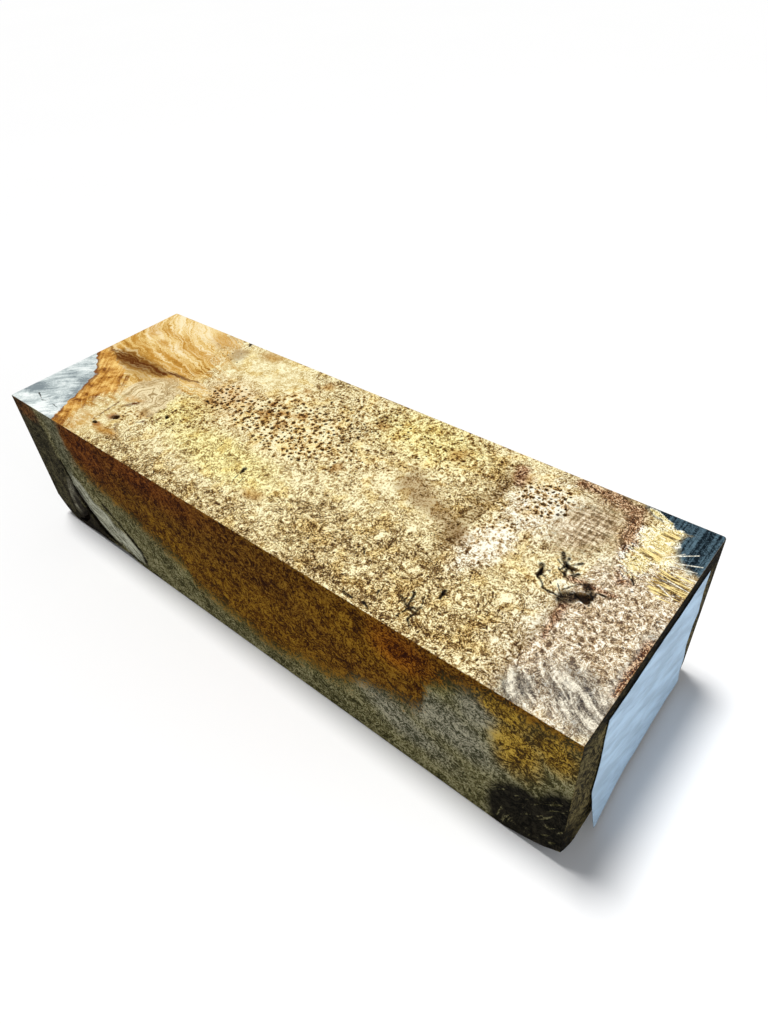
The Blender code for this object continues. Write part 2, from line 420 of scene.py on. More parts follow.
def patch_group():
    """A turned oval patch: 1 inside, 0 outside, with a soft edge."""
    tree, graph, enter, leave = new_group(
        "Patch",
        (
            ("Position", "Vector", (0, 0, 0)), ("Centre", "Vector", (0, 0, 0)),
            ("Along", "Vector", (0.1, 0, 0)), ("Across", "Vector", (0, 0.1, 0)), ("Soft", "Float", 0.3),
        ),
        (("Mask", "Float"),),
    )
    local = graph.vector("SUBTRACT", enter["Position"], enter["Centre"])
    along = graph.vector("DOT_PRODUCT", local, enter["Along"], output=1)
    across = graph.vector("DOT_PRODUCT", local, enter["Across"], output=1)
    reach = graph.math("ADD", graph.product(along, along), graph.product(across, across))
    reach = graph.math("SQRT", reach)
    inner = graph.math("SUBTRACT", 1.0, enter["Soft"])
    outer = graph.math("ADD", 1.0, enter["Soft"])
    graph.feed(leave[0], graph.remap(reach, outer, inner))
    return tree


def stroke_group():
    """A straight stroke between two points, tapering towards its end."""
    tree, graph, enter, leave = new_group(
        "Stroke",
        (
            ("Position", "Vector", (0, 0, 0)), ("From", "Vector", (0, 0, 0)),
            ("To", "Vector", (1, 0, 0)), ("Width", "Float", 1.0), ("Soft", "Float", 0.4),
        ),
        (("Mask", "Float"),),
    )
    reach = graph.vector("SUBTRACT", enter["Position"], enter["From"])
    run = graph.vector("SUBTRACT", enter["To"], enter["From"])
    along = graph.vector("DOT_PRODUCT", reach, run, output=1)
    whole = graph.vector("DOT_PRODUCT", run, run, output=1)
    share = graph.held(graph.math("DIVIDE", along, whole))
    gap = graph.vector("SUBTRACT", reach, graph.scaled(run, share))
    gap = graph.vector("LENGTH", gap, output=1)
    half = graph.product(enter["Width"], graph.remap(share, 0.0, 1.0, 0.55, 0.35))
    inner = graph.product(half, graph.math("SUBTRACT", 1.0, enter["Soft"]))
    outer = graph.product(half, graph.math("ADD", 1.0, enter["Soft"]))
    graph.feed(leave[0], graph.remap(gap, outer, inner))
    return tree


def curl_group():
    """Curly burl fleck: pale and dark curls with thin dark lines winding between them."""
    tree, graph, enter, leave = new_group(
        "Curly fleck",
        (("Position", "Vector", (0, 0, 0)), ("Size", "Float", 1.0)),
        (("Value", "Float"),),
    )
    rate = graph.math("DIVIDE", 1.0, enter["Size"])
    moved = enter["Position"]
    for scale, amount in ((0.15, 9.0), (0.55, 2.6)):
        drift = graph.noise(enter["Position"], graph.product(rate, scale), 1.0, output="Color")
        drift = graph.vector("SUBTRACT", drift, (0.5, 0.5, 0.5))
        drift = graph.scaled(drift, graph.product(enter["Size"], amount))
        moved = graph.vector("ADD", moved, drift)
    body = graph.noise(moved, graph.product(rate, 0.62), 3.0, 0.65)
    curls = graph.noise(moved, graph.product(rate, 0.33), 2.0, 0.6)
    grain = graph.noise(enter["Position"], graph.product(rate, 1.9), 2.0, 0.6)
    line = graph.remap(graph.math("ABSOLUTE", graph.math("SUBTRACT", curls, 0.5)), 0.0, 0.05, 0.2, 1.0)
    rings = graph.product(graph.noise(moved, graph.product(rate, 0.13), 1.0), 70.0)
    rings = graph.math("SINE", rings)
    value = graph.math("MULTIPLY_ADD", rings, 0.055, graph.blend(0.4, body, grain))
    value = graph.remap(value, 0.36, 0.64)
    graph.feed(leave[0], graph.product(value, line))
    return tree


def flow_group():
    """Flowing grain: long streaks along the position's first axis."""
    tree, graph, enter, leave = new_group(
        "Flowing grain",
        (
            ("Position", "Vector", (0, 0, 0)), ("Length", "Float", 16.0), ("Spacing", "Float", 1.2),
            ("Wave", "Float", 1.0),
        ),
        (("Value", "Float"),),
    )
    wave = graph.noise(enter["Position"], 0.045, 1.0, 0.4, output="Color")
    wave = graph.vector("SUBTRACT", wave, (0.5, 0.5, 0.5))
    wave = graph.scaled(wave, graph.product(enter["Wave"], 16.0))
    moved = graph.vector("ADD", enter["Position"], wave)
    along = graph.math("DIVIDE", 1.0, enter["Length"])
    across = graph.math("DIVIDE", 1.0, enter["Spacing"])
    moved = graph.vector("MULTIPLY", moved, graph.joined(along, across))
    lines = graph.noise(moved, 0.8, 4.0, 0.65)
    graph.feed(leave[0], graph.remap(lines, 0.32, 0.68))
    return tree


def pore_group():
    """Pores close together: dark cores with brown halos. Share is how many of the places hold one."""
    tree, graph, enter, leave = new_group(
        "Pores",
        (
            ("Position", "Vector", (0, 0, 0)), ("Spacing", "Float", 1.6), ("Radius", "Float", 0.3),
            ("Share", "Float", 0.6),
        ),
        (("Core", "Float"), ("Halo", "Float")),
    )
    drift = graph.noise(enter["Position"], 0.8, 2.0, output="Color")
    drift = graph.scaled(graph.vector("SUBTRACT", drift, (0.5, 0.5, 0.5)), 1.5)
    moved = graph.vector("ADD", enter["Position"], drift)
    dots = graph.tree.nodes.new("ShaderNodeTexVoronoi")
    dots.voronoi_dimensions = "2D"
    graph.feed(dots.inputs["Vector"], moved)
    graph.feed(dots.inputs["Scale"], graph.math("DIVIDE", 1.0, enter["Spacing"]))
    dots.inputs["Randomness"].default_value = 0.85
    gap = graph.product(dots.outputs["Distance"], enter["Spacing"])
    chance = graph.add("ShaderNodeSeparateColor", {0: dots.outputs["Color"]}, 1)
    present = graph.math("LESS_THAN", chance, enter["Share"])
    size = graph.add("ShaderNodeSeparateColor", {0: dots.outputs["Color"]}, 0)
    radius = graph.product(enter["Radius"], graph.remap(size, 0.0, 1.0, 0.6, 1.4))
    core = graph.remap(gap, radius, graph.product(radius, 0.45))
    halo = graph.remap(gap, graph.product(radius, 2.1), graph.product(radius, 0.9))
    graph.feed(leave[0], graph.product(core, present))
    graph.feed(leave[1], graph.product(halo, present))
    return tree


def saw_group():
    """Saw marks: close, uneven ridges square to one coordinate."""
    tree, graph, enter, leave = new_group(
        "Saw marks",
        (("Across", "Float", 0.0), ("Position", "Vector", (0, 0, 0)), ("Pitch", "Float", 2.1)),
        (("Height", "Float"),),
    )
    drift = graph.noise(enter["Position"], 0.03, 1.0)
    place = graph.math("MULTIPLY_ADD", drift, 2.5, enter["Across"])
    turns = graph.math("DIVIDE", place, enter["Pitch"])
    ridge = graph.math("SINE", graph.product(turns, 2.0 * math.pi))
    uneven = graph.noise(graph.joined(place, 0.0), 0.9, 3.0, 0.7)
    graph.feed(leave[0], graph.product(graph.remap(ridge, -1.0, 1.0), uneven))
    return tree


class Groups:
    """The shared effects, each built once."""

    def __init__(self):
        self.wander = wander_group()
        self.patch = patch_group()
        self.stroke = stroke_group()
        self.curl = curl_group()
        self.flow = flow_group()
        self.pores = pore_group()
        self.saw = saw_group()


class Face:
    """One side of the wood, coloured layer on layer, with its positions in millimetres."""

    def __init__(self, graph, groups, wood, across, up, level=0.0):
        place = graph.millimetres()
        self.graph = graph
        self.groups = groups
        self.wood = wood
        self.axes = {axis: graph.part(place, index) for index, axis in enumerate("XYZ")}
        self.flat = graph.joined(self.axes[across], graph.math("SUBTRACT", self.axes[up], level))
        self.grown = graph.apply(groups.wander, {"Position": self.flat, "Broad": 1.6, "Fine": 1.0})
        self.ragged = graph.apply(groups.wander, {"Position": self.flat, "Broad": 0.4, "Fine": 0.45})
        self.x = graph.part(self.grown, 0)
        self.y = graph.part(self.grown, 1)
        self.shade = None

    def curl(self, size):
        return self.graph.apply(self.groups.curl, {"Position": self.flat, "Size": size})

    def flow(self, turn, length, spacing, wave):
        position = self.graph.turned(self.flat, math.radians(turn))
        inputs = {"Position": position, "Length": length, "Spacing": spacing, "Wave": wave}
        return self.graph.apply(self.groups.flow, inputs)

    def saw(self, axis="X"):
        pitch = self.wood.saw_pitch / MM
        inputs = {"Across": self.axes[axis], "Position": self.flat, "Pitch": pitch}
        return self.graph.apply(self.groups.saw, inputs)

    def pores(self, spacing, radius, share):
        inputs = {"Position": self.flat, "Spacing": spacing, "Radius": radius, "Share": share}
        core = self.graph.apply(self.groups.pores, inputs)
        return core, core.node.outputs[1]

    def patches(self, table, position=None):
        """The largest of several patches: (x, y, half length, half width, turn in degrees, softness)."""
        found = None
        for x, y, long, wide, turn, soft in table:
            east, north = math.cos(math.radians(turn)), math.sin(math.radians(turn))
            inputs = {
                "Position": position or self.grown, "Centre": (x, y, 0.0),
                "Along": (east / long, north / long, 0.0), "Across": (-north / wide, east / wide, 0.0),
                "Soft": soft,
            }
            found = self.graph.larger(found, self.graph.apply(self.groups.patch, inputs))
        return found

    def strokes(self, table, soft=0.5, position=None):
        """The largest of several strokes: (from x, from y, to x, to y, width)."""
        found = None
        for x, y, to_x, to_y, width in table:
            inputs = {
                "Position": position or self.grown, "From": (x, y, 0.0), "To": (to_x, to_y, 0.0),
                "Width": width, "Soft": soft,
            }
            found = self.graph.larger(found, self.graph.apply(self.groups.stroke, inputs))
        return found

    def cover(self, mask, strength, tone, blend="MIX"):
        """Lays a tone over the shade where the mask is 1."""
        factor = self.graph.product(mask, strength)
        self.shade = self.graph.mix(factor, self.shade, tone, blend)


def finished_material(name, make, specular):
    """A material from a function that returns its colour, roughness, bump height and bump depth."""
    made = bpy.data.materials.new(name)
    made.use_nodes = True
    tree = made.node_tree
    shader = tree.nodes["Principled BSDF"]
    graph = Graph(tree)
    tone, rough, height, depth = make(graph)
    graph.feed(shader.inputs["Base Color"], tone)
    graph.feed(shader.inputs["Roughness"], rough)
    shader.inputs["Specular IOR Level"].default_value = specular
    bump = graph.add("ShaderNodeBump", {"Height": height, "Distance": depth})
    graph.feed(shader.inputs["Normal"], bump)
    return made


# The figured top, in millimetres from the block's middle: x to the right, y to the back.
# Patches are (x, y, half length, half width, turn in degrees, softness).
# Strokes are (from x, from y, to x, to y, width).

# Where the grey-white sapwood of the near left corner ends: (y, x)
SAP_EDGE = (
    (-60, -110), (-49, -115), (-41, -118), (-34, -122), (-24, -127), (-14, -134), (-6, -143), (0, -153),
    (12, -175),
)
# How wide the amber band beside it is: (y, width)
AMBER_WIDTH = ((-60, 9), (-44, 9), (-33, 9), (-24, 16), (-12, 22), (-2, 20), (12, 12))
# Where the flowing grain gives way to the burl: (y, x)
FLOW_EDGE = (
    (-60, -126), (-36, -121), (-18, -108), (-6, -92), (8, -79), (20, -83), (32, -92), (45, -101), (60, -106),
)
# Yellow, tan, pale, greyer and smooth areas of the burl
GLOW = ((-30, -22, 34, 11, -4, 0.5), (-68, -10, 14, 12, 0, 0.6), (34, 36, 26, 14, -5, 0.6))
TAN = (
    (64, -32, 48, 21, 6, 0.4), (20, -48, 70, 8, 0, 0.6), (70, 22, 7, 22, 0, 0.6),
    (-40, -46, 56, 6, 0, 0.7), (104, -36, 18, 14, 0, 0.5), (-92, -36, 10, 8, 0, 0.6),
)
PALE = (
    (86, -2, 6, 15, -12, 0.3), (4, -20, 13, 4, 48, 0.5), (55, -36, 8, 4, 0, 0.6),
    (-66, 26, 16, 7, -10, 0.6), (40, 4, 12, 7, 0, 0.7), (26, -46, 9, 3.5, 20, 0.5),
    (-111, 17, 1.6, 1.3, 0, 0.4),
)
GREYER = ((92, 26, 14, 18, 0, 0.6), (87, -2, 8, 16, -12, 0.4), (134, -20, 22, 34, 0, 0.6))
SMOOTH_CREAM = (
    (-60, 37, 25, 12, -14, 0.5), (-82, 30, 12, 8, -20, 0.6), (-98, -33, 14, 17, 0, 0.6),
)
# Where large and small pores are drawn between the cut ones
LARGE_PORES = (
    (-60, 10, 12, 10, -20, 0.3), (-38, 9, 18, 13, 12, 0.35), (-12, 8, 20, 17, 0, 0.35),
    (92, 31, 11, 10, 0, 0.3), (-33, 26, 9, 5, 30, 0.5),
)
SMALL_PORES = (
    (4, 34, 30, 15, -8, 0.4), (44, 32, 26, 18, 0, 0.5), (18, 10, 16, 14, 0, 0.6), (86, 6, 8, 20, 0, 0.5),
    (-84, -24, 10, 9, 0, 0.5), (-60, -8, 20, 8, 0, 0.6), (66, 36, 14, 12, 0, 0.5),
)
# A browner area, brown eyes, a slanting blotch, and a greyish one in the smooth cream
BROWNER = ((-62, 8, 13, 13, 0, 0.8),)
BROWN_EYES = (
    (-39, 17, 2.4, 2.2, 0, 0.4), (-30, 14.5, 3.2, 2.6, 20, 0.4), (-22, 17, 4.4, 2.4, 24, 0.4),
    (-25, 8, 3.0, 2.6, 0, 0.4), (-37, 10, 4.0, 2.4, -20, 0.5), (-33.5, 33.5, 2.4, 1.8, -10, 0.5),
    (-82, -21, 4.2, 3.6, 0, 0.5), (-28, 42, 2.8, 3.2, 0, 0.6), (-65, 1, 3.0, 1.8, 10, 0.4),
    (0, -31, 5, 3, 10, 0.6), (50, 34, 4, 5, 0, 0.6), (12, 32, 3.4, 2.6, 0, 0.5), (15, 0, 2.4, 3.4, 0, 0.5),
    (78, 37, 4.5, 4, 0, 0.5), (-103, 41, 5, 3, -30, 0.6), (-70, 46, 6, 4, 0, 0.6), (-84, -40, 8, 2.6, 0, 0.5),
)
DIAGONAL_BLOTCH = ((45, 10, 77, -4, 11.0),)
GREY_BLOTCHES = ((-85.5, 37, 5.0, 5.4, 0, 0.5),)
# Tints that multiply the burl's colours
HALO_TINT = (0.86, 0.66, 0.40)
WARM_TINT = (0.96, 0.84, 0.56)
GLOW_TINT = (1.02, 1.03, 0.74)
GREY_TINT = (1.0, 1.06, 1.45)
EYE_TINT = (0.62, 0.42, 0.22)
BROWN_TINT = (0.78, 0.60, 0.52)
BLOTCH_TINT = (0.56, 0.47, 0.40)
SAW_TINT = (0.52, 0.43, 0.34)
# Steps where the saw shifted: (x, how far the shade reaches to its left, middle and half length along y)
SAW_STEPS = ((77.0, 11.0, 13.0, 28.0), (120.3, 4.0, -28.0, 24.0))

# Streaks and an olive shade in the flowing grain at the left, and the nested arches in front of it
DARK_STREAKS = (
    (-152, 5.5, -132, 4.5, 2.6), (-136, 4.0, -103, 4.6, 9.5), (-107, 6.5, -84, 10, 2.6),
    (-94.8, -23.4, -89.4, -13.8, 2.2), (-101, -24, -98.6, -38, 1.2), (-99.4, -26, -98, -36, 0.8),
    (-85, -19, -87, -26, 1.4), (-78, -25, -81, -29, 1.6), (-73, -17, -75, -22, 1.2),
    (-85, -35, -80, -37, 1.4),
)
ORANGE_STREAKS = (
    (-122, 17, -90, 15, 4.0), (-104, 13, -78, 7, 5.0), (-122, 31, -108, 27.5, 6.0),
    (-116, 28, -90, 27, 7.0), (-138, 34, -118, 30, 4.0), (-150, 20, -118, 13, 4.0),
    (-99, -19, -92, -16, 5.0), (-103, -38, -103, -50, 9.0), (-152, 34, -140, 28, 7.0),
    (-132, 24, -116, 22, 3.0), (-113, -33, -111, -50, 8.0), (-91, -40, -80, -41, 4.0),
    (-144, 4, -96, 8, 12.0), (-104, 44, -90, 38, 11.0),
)
OLIVE_SHADE = ((-116, -1, 14, 5, -8, 0.6),)
STREAK_BROWN = (0.10, 0.024, 0.001)
STREAK_ORANGE = (0.52, 0.25, 0.035)
OLIVE_BROWN = (0.36, 0.20, 0.05)
BLOTCH_BROWN = (0.36, 0.25, 0.13)
FAN_MIDDLE = (-94.0, -14.0)
FAN_REACH = 14.0
# How much narrower than tall the arches are
FAN_NARROW = 0.74
# The colours of a ramp, as (place, colour) stops
FLOW_TONES = (
    (0.0, (0.24, 0.09, 0.010)), (0.32, (0.54, 0.29, 0.05)), (0.62, (0.79, 0.57, 0.22)),
    (1.0, (0.90, 0.78, 0.51)),
)
ARCH_TONES = ((0.0, (0.20, 0.13, 0.055)), (0.5, (0.50, 0.36, 0.17)), (0.95, (0.88, 0.77, 0.50)))

# The near left corner: a shaded spot in the sapwood, and the darker and lighter ends of its ramps
SAP_SHADE = ((-147, -38, 7, 5, 0, 0.6),)
AMBER_DARK = (0.17, 0.045, 0.003)
AMBER_LIGHT = (0.88, 0.60, 0.20)
AMBER_RIM = (0.17, 0.055, 0.02)
ASH_DARK = (0.22, 0.265, 0.29)
ASH_LIGHT = (0.88, 0.93, 0.93)

# The right third: hatching, pale flakes past the last saw step, russet bands and grey shade
HATCHED = ((111, 27, 10, 16, -8, 0.55),)
FLAKED = ((138, -12, 22, 40, 0, 0.25),)
HATCH_TONES = (
    (0.0, (0.10, 0.06, 0.03)), (0.35, (0.38, 0.26, 0.14)), (0.7, (0.70, 0.58, 0.40)),
    (1.0, (0.95, 0.90, 0.74)),
)
FLAKE_TONES = (
    (0.0, (0.10, 0.06, 0.04)), (0.30, (0.48, 0.31, 0.15)), (0.60, (0.74, 0.64, 0.44)),
    (0.95, (0.99, 0.97, 0.90)),
)
SHADE_TONES = ((0.0, (0.04, 0.04, 0.045)), (0.45, (0.28, 0.25, 0.20)), (0.95, (0.88, 0.83, 0.70)))
RUSSET_DARK = (0.03, 0.010, 0.007)
RUSSET_LIGHT = (0.85, 0.66, 0.42)
RUSSET = (
    (98, 47, 111, 46, 6.0), (109, 47, 121, 43, 9.0), (120, 44, 125, 30, 8.0), (124, 32, 131, 11, 8.0),
    (75.5, 41, 79, 33, 5.0), (149.6, -9, 149, -30, 4.0), (121, -10, 123, -24, 3.0), (118, 2, 132, 3, 3.0),
)
SHADED = ((144, -38, 14, 9, -20, 0.6), (127, -44, 6, 7, 0, 0.6), (149, -20, 3, 16, 0, 0.6))

# The far right corner: slate stain, and the pale and gold splinters that reach into it
SLATE = ((138, 51, 17, 8.0, 0, 0.12), (152, 38, 14, 13, 0, 0.15))
CORNER_PALE = (
    (132, 35, 6.5, 7.5, 20, 0.4), (131, 22, 6, 9, 0, 0.6), (137.5, 26, 4, 4, 0, 0.5),
    (127, 47, 4.4, 1.5, -20, 0.4), (131.5, 44.5, 3.2, 1.5, -30, 0.4), (135, 41.5, 3.4, 1.6, 35, 0.4),
)
CORNER_GOLD = ((144.5, 17, 6, 7, 20, 0.5), (135, 39, 3, 2.4, 30, 0.4), (133, 27, 4, 2.6, 0, 0.5))
SPIKES = (
    (139, 30, 146, 35.4, 0.55), (141, 27.5, 149, 31, 0.6), (140, 25.5, 148.5, 27.5, 0.5),
    (138, 28.5, 142, 33.5, 0.5), (142, 23, 150, 24, 0.55), (142.5, 19, 150, 18, 0.5),
    (141, 15.5, 147, 12.5, 0.55),
)
SLATE_DARK = (0.003, 0.008, 0.013)
SPIKE_WHITE = (0.97, 0.95, 0.82)
PALE_TONES = (
    (0.02, (0.16, 0.10, 0.05)), (0.35, (0.80, 0.62, 0.20)), (0.65, (0.95, 0.88, 0.50)),
    (0.9, (1.0, 0.98, 0.88)),
)
GOLD_TONES = ((0.1, (0.03, 0.018, 0.012)), (0.45, (0.34, 0.20, 0.04)), (0.9, (0.97, 0.80, 0.36)))

# Black inclusions: a net at the right, a smaller one at the front, single spots and a hairline crack
BLACK_MARKS = (
    (110, 10.5, 113, 6.5, 1.8), (113, 9.5, 113.5, 4, 1.4), (113, 7.5, 118.5, 3.5, 1.6),
    (117.5, 10, 114, 6, 1.2), (115, 5, 116, 0.5, 1.3), (119, 5, 117, 2.5, 1.2),
    (110.5, 7, 114, 5, 0.8), (112, 4, 116, 2, 0.7), (107, 1.5, 108.3, -3.5, 2.0),
    (108.5, -4, 113, -7, 0.9), (108, -0.5, 113, 2, 0.6), (109, -2, 116, -5.5, 0.6),
    (110, 0.5, 116.5, -3.5, 0.6), (112, 1, 118, -6, 0.7), (116, 2, 119.5, -2, 0.7),
    (112, -7, 119, -7.5, 0.9), (119.5, -7, 126.5, -1.5, 4.4), (123, 2, 126.5, -1, 2.6),
    (127, 0.5, 127.6, -5, 1.2), (118, -4, 122, 2, 0.9), (128, 1, 133, 2, 0.8),
    (119, -8, 121, -10.5, 0.9),
    (78, -37.5, 83.5, -40, 1.3), (80.5, -33.5, 83, -40, 1.1), (83, -40, 86, -37, 1.3),
    (86, -37, 85.5, -43, 1.3), (83, -40, 82, -44.5, 1.0), (85.5, -43, 88, -45.5, 0.9),
    (80, -37, 79, -41, 0.6), (84, -33, 86, -37, 0.6),
    (88, -27, 88.3, -30.5, 1.5), (61.5, -47.4, 65.5, -47.8, 1.4), (69.5, -47, 72.5, -47.8, 1.2),
    (71, -40, 71.6, -42, 0.9), (54, -28, 56, -30, 1.0), (92, -18, 93, -20, 0.8),
    (133, 13, 134, 11, 0.9), (-14.6, -22, -14.2, -24.6, 1.8), (-14.4, -25, -12.5, -31, 0.5),
    (-11, -26, -9.5, -32, 0.5), (-71.6, -17, -70.6, -18.2, 1.8), (-91.0, -31, -89.6, -31, 3.4),
    (-96.4, -38.7, -94.6, -38.8, 1.6), (-88.6, 48.6, -87.8, 46.8, 1.8), (-66.4, 1.0, -64, 0.4, 1.6),
    (-140, -40.6, -133, -43, 0.8), (-133, -43, -121, -42, 0.7),
)
BLACK_HALOS = ((-92.0, -31.2, 3.2, 2.6, 0, 0.6), (-94, -39.2, 2.6, 1.5, 0, 0.6))
HALO_BROWN = (0.32, 0.12, 0.02)


def burl_ground(face):
    """Curly fleck all over: yellow in the middle, tan in the lower right, pores in clusters."""
    graph, wood = face.graph, face.wood
    fleck = face.curl(1.2)
    fine = face.curl(0.7)
    cloud = graph.noise(face.flat, 0.06, 2.0)
    mottle = graph.noise(face.grown, 0.18, 2.0)
    tone = graph.varied(0.86, (fleck, 0.90), (fine, 0.82), (cloud, 0.5), (mottle, 0.85))
    tone = graph.math("MULTIPLY_ADD", face.patches(TAN), -0.30, tone)
    tone = graph.math("MULTIPLY_ADD", face.patches(PALE), 0.18, tone)
    calm = graph.varied(0.86, (fleck, 0.22), (mottle, 0.5), (fine, 0.15))
    tone = graph.blend(graph.product(face.patches(SMOOTH_CREAM), 0.8), tone, calm)
    large = face.patches(LARGE_PORES, face.ragged)
    tone = graph.math("MULTIPLY_ADD", large, 0.24, tone)
    core, halo = face.pores(2.5, 0.80, 0.72)
    core = graph.product(core, large)
    halo = graph.product(halo, large)
    small = graph.math("MULTIPLY_ADD", face.patches(SMALL_PORES), 0.85, 0.15)
    specks, rims = face.pores(2.1, 0.50, 0.62)
    core = graph.larger(core, graph.product(specks, small, 0.9))
    halo = graph.larger(halo, graph.product(rims, small, 0.8))
    tone = graph.math("MULTIPLY_ADD", halo, -0.26, tone)
    tone = graph.math("MULTIPLY_ADD", core, -0.78, tone)
    face.shade = graph.ramp(
        tone, (0.0, wood.umber), (0.24, wood.brown), (0.50, wood.gold), (0.76, wood.cream), (1.0, wood.pale)
    )
    face.cover(halo, 0.8, HALO_TINT, "MULTIPLY")
    warm = graph.remap(graph.noise(face.grown, 0.11, 3.0), 0.54, 0.66)
    face.cover(warm, 0.6, WARM_TINT, "MULTIPLY")
    face.cover(face.patches(GLOW), 0.8, GLOW_TINT, "MULTIPLY")
    face.cover(face.patches(GREYER), 0.8, GREY_TINT, "MULTIPLY")
    face.cover(face.patches(BROWN_EYES, face.ragged), 0.8, EYE_TINT, "MULTIPLY")
    face.cover(face.patches(BROWNER), 0.6, BROWN_TINT, "MULTIPLY")
    face.cover(face.strokes(DIAGONAL_BLOTCH, 0.7), 0.95, BLOTCH_TINT, "MULTIPLY")
    return fleck, fine


def flowing_left(face, fine):
    """Flowing gold and brown grain over the left third, with nested arches where it turns."""
    graph, flow = face.graph, face.groups.flow
    lean = graph.product(graph.math("MAXIMUM", graph.math("SUBTRACT", face.y, 6.0), 0.0), 0.019)
    across = graph.math("MULTIPLY_ADD", graph.math("ADD", face.x, 125.0), lean, face.y)
    course = graph.joined(face.x, across)
    streaks = graph.apply(flow, {"Position": course, "Length": 26.0, "Spacing": 1.3, "Wave": 0.3})
    bands = graph.apply(flow, {"Position": course, "Length": 40.0, "Spacing": 6.0, "Wave": 0.5})
    tone = graph.varied(0.55, (streaks, 0.52), (bands, 0.46), (fine, 0.30))
    tone = graph.math("ADD", tone, graph.remap(face.y, 27.0, 42.0, 0.0, 0.24))
    flowing = graph.ramp(tone, *FLOW_TONES)

    wander = graph.noise(face.flat, 0.12, 2.0)
    side = graph.math("SUBTRACT", face.x, FAN_MIDDLE[0])
    rise = graph.math("MAXIMUM", graph.math("SUBTRACT", face.y, FAN_MIDDLE[1]), 0.0)
    reach = graph.vector("LENGTH", graph.joined(side, graph.product(rise, FAN_NARROW)), output=1)
    reach = graph.varied(reach, (wander, 9.0))
    arches = graph.joined(face.y, reach)
    arches = graph.apply(flow, {"Position": arches, "Length": 30.0, "Spacing": 1.1, "Wave": 0.32})
    within = graph.remap(reach, FAN_REACH + 1.5, FAN_REACH - 1.5)
    fan = graph.product(within, graph.remap(face.y, -25.0, -13.0))
    arched = graph.ramp(graph.varied(0.62, (arches, 0.75), (fine, 0.35)), *ARCH_TONES)

    edge = graph.math("SUBTRACT", face.x, graph.follow(face.y, FLOW_EDGE))
    left = graph.remap(graph.varied(edge, (wander, 40.0), (streaks, 16.0)), 11.0, -9.0)
    face.cover(left, 1.0, flowing)
    face.cover(fan, 0.9, arched)
    face.cover(face.patches(OLIVE_SHADE), 0.6, OLIVE_BROWN)
    orange = graph.product(face.strokes(ORANGE_STREAKS, 0.9), graph.remap(streaks, 0.0, 1.0, 1.0, 0.35))
    face.cover(orange, 0.75, STREAK_ORANGE)
    streak = graph.product(face.strokes(DARK_STREAKS, 0.8), graph.remap(streaks, 0.3, 1.0, 1.0, 0.7))
    face.cover(streak, 1.0, STREAK_BROWN)
    face.cover(face.patches(GREY_BLOTCHES), 0.65, BLOTCH_BROWN)
    return bands


def amber_and_sapwood(face, bands, fine):
    """The near left corner: grey-white sapwood, and the amber band beside it."""
    graph, wood = face.graph, face.wood
    gap = graph.math("SUBTRACT", face.x, graph.follow(face.y, SAP_EDGE))
    past = graph.math("SUBTRACT", gap, graph.follow(face.y, AMBER_WIDTH))
    grain = face.flow(52.0, 22.0, 1.3, 0.35)
    clot = graph.noise(face.grown, 0.16, 3.0)
    tone = graph.varied(0.46, (grain, 0.42), (bands, 0.3), (clot, 1.8), (fine, 0.35))
    amber = graph.ramp(tone, (0.0, AMBER_DARK), (0.45, wood.amber), (0.95, AMBER_LIGHT))
    mask = graph.remap(graph.varied(past, (grain, 5.0)), 3.0, -3.0)
    mask = graph.product(mask, graph.remap(face.y, 9.0, 1.0))
    face.cover(mask, 0.95, amber)
    rim = graph.product(graph.remap(gap, 3.6, 0.6), graph.remap(face.y, -36.0, -20.0))
    face.cover(rim, 0.85, AMBER_RIM)

    sap_grain = face.flow(-42.0, 10.0, 1.6, 0.6)
    cloud = graph.noise(face.grown, 0.075, 2.0)
    tone = graph.varied(0.50, (sap_grain, 0.40), (cloud, 2.0), (fine, 0.35))
    tone = graph.math("MULTIPLY_ADD", face.patches(SAP_SHADE), -0.4, tone)
    tone = graph.math("ADD", tone, graph.remap(face.y, -43.0, -46.0, 0.0, 0.3))
    sapwood = graph.ramp(tone, (0.0, ASH_DARK), (0.5, wood.ash), (0.95, ASH_LIGHT))
    face.cover(graph.remap(gap, 0.5, -0.5), 1.0, sapwood)


def stained_right(face, fleck, fine):
    """Saw steps, hatching, pale flakes, russet arcs and grey shade towards the right end."""
    graph, wood = face.graph, face.wood
    across = graph.part(face.flat, 0)
    for place, reach, middle, half in SAW_STEPS:
        before = graph.remap(across, place - reach, place)
        shade = graph.product(before, graph.remap(across, place + 0.4, place))
        beside = face.patches(((place, middle, 40.0, half, 0, 0.25),))
        face.cover(graph.product(shade, beside), 0.65, SAW_TINT, "MULTIPLY")

    along, square = (face.flow(turn, 8.0, 1.0, 0.1) for turn in (0.0, 90.0))
    hatched = graph.ramp(graph.varied(0.42, (along, 0.6), (square, 0.6), (fine, 0.6)), *HATCH_TONES)
    face.cover(face.patches(HATCHED, face.ragged), 0.9, hatched)

    beyond = graph.product(face.patches(FLAKED), graph.remap(across, 120.0, 120.6))
    blots = graph.noise(face.flat, 0.42, 3.0, 0.6)
    tone = graph.varied(0.50, (blots, 1.9), (fine, 0.9), (fleck, 0.5))
    face.cover(beyond, 0.9, graph.ramp(tone, *FLAKE_TONES))
    dots, _ = face.pores(3.6, 0.44, 0.5)
    face.cover(graph.product(beyond, dots), 0.9, wood.umber)
    streaks = graph.varied(0.5, (face.flow(35.0, 9.0, 1.8, 0.5), 0.9), (fine, 0.5))
    face.cover(face.patches(SHADED), 0.85, graph.ramp(streaks, *SHADE_TONES))
    tone = graph.varied(0.42, (fleck, 1.2), (fine, 0.9))
    rusty = graph.ramp(tone, (0.0, RUSSET_DARK), (0.45, wood.russet), (1.0, RUSSET_LIGHT))
    face.cover(face.strokes(RUSSET, 0.7, face.ragged), 0.9, rusty)


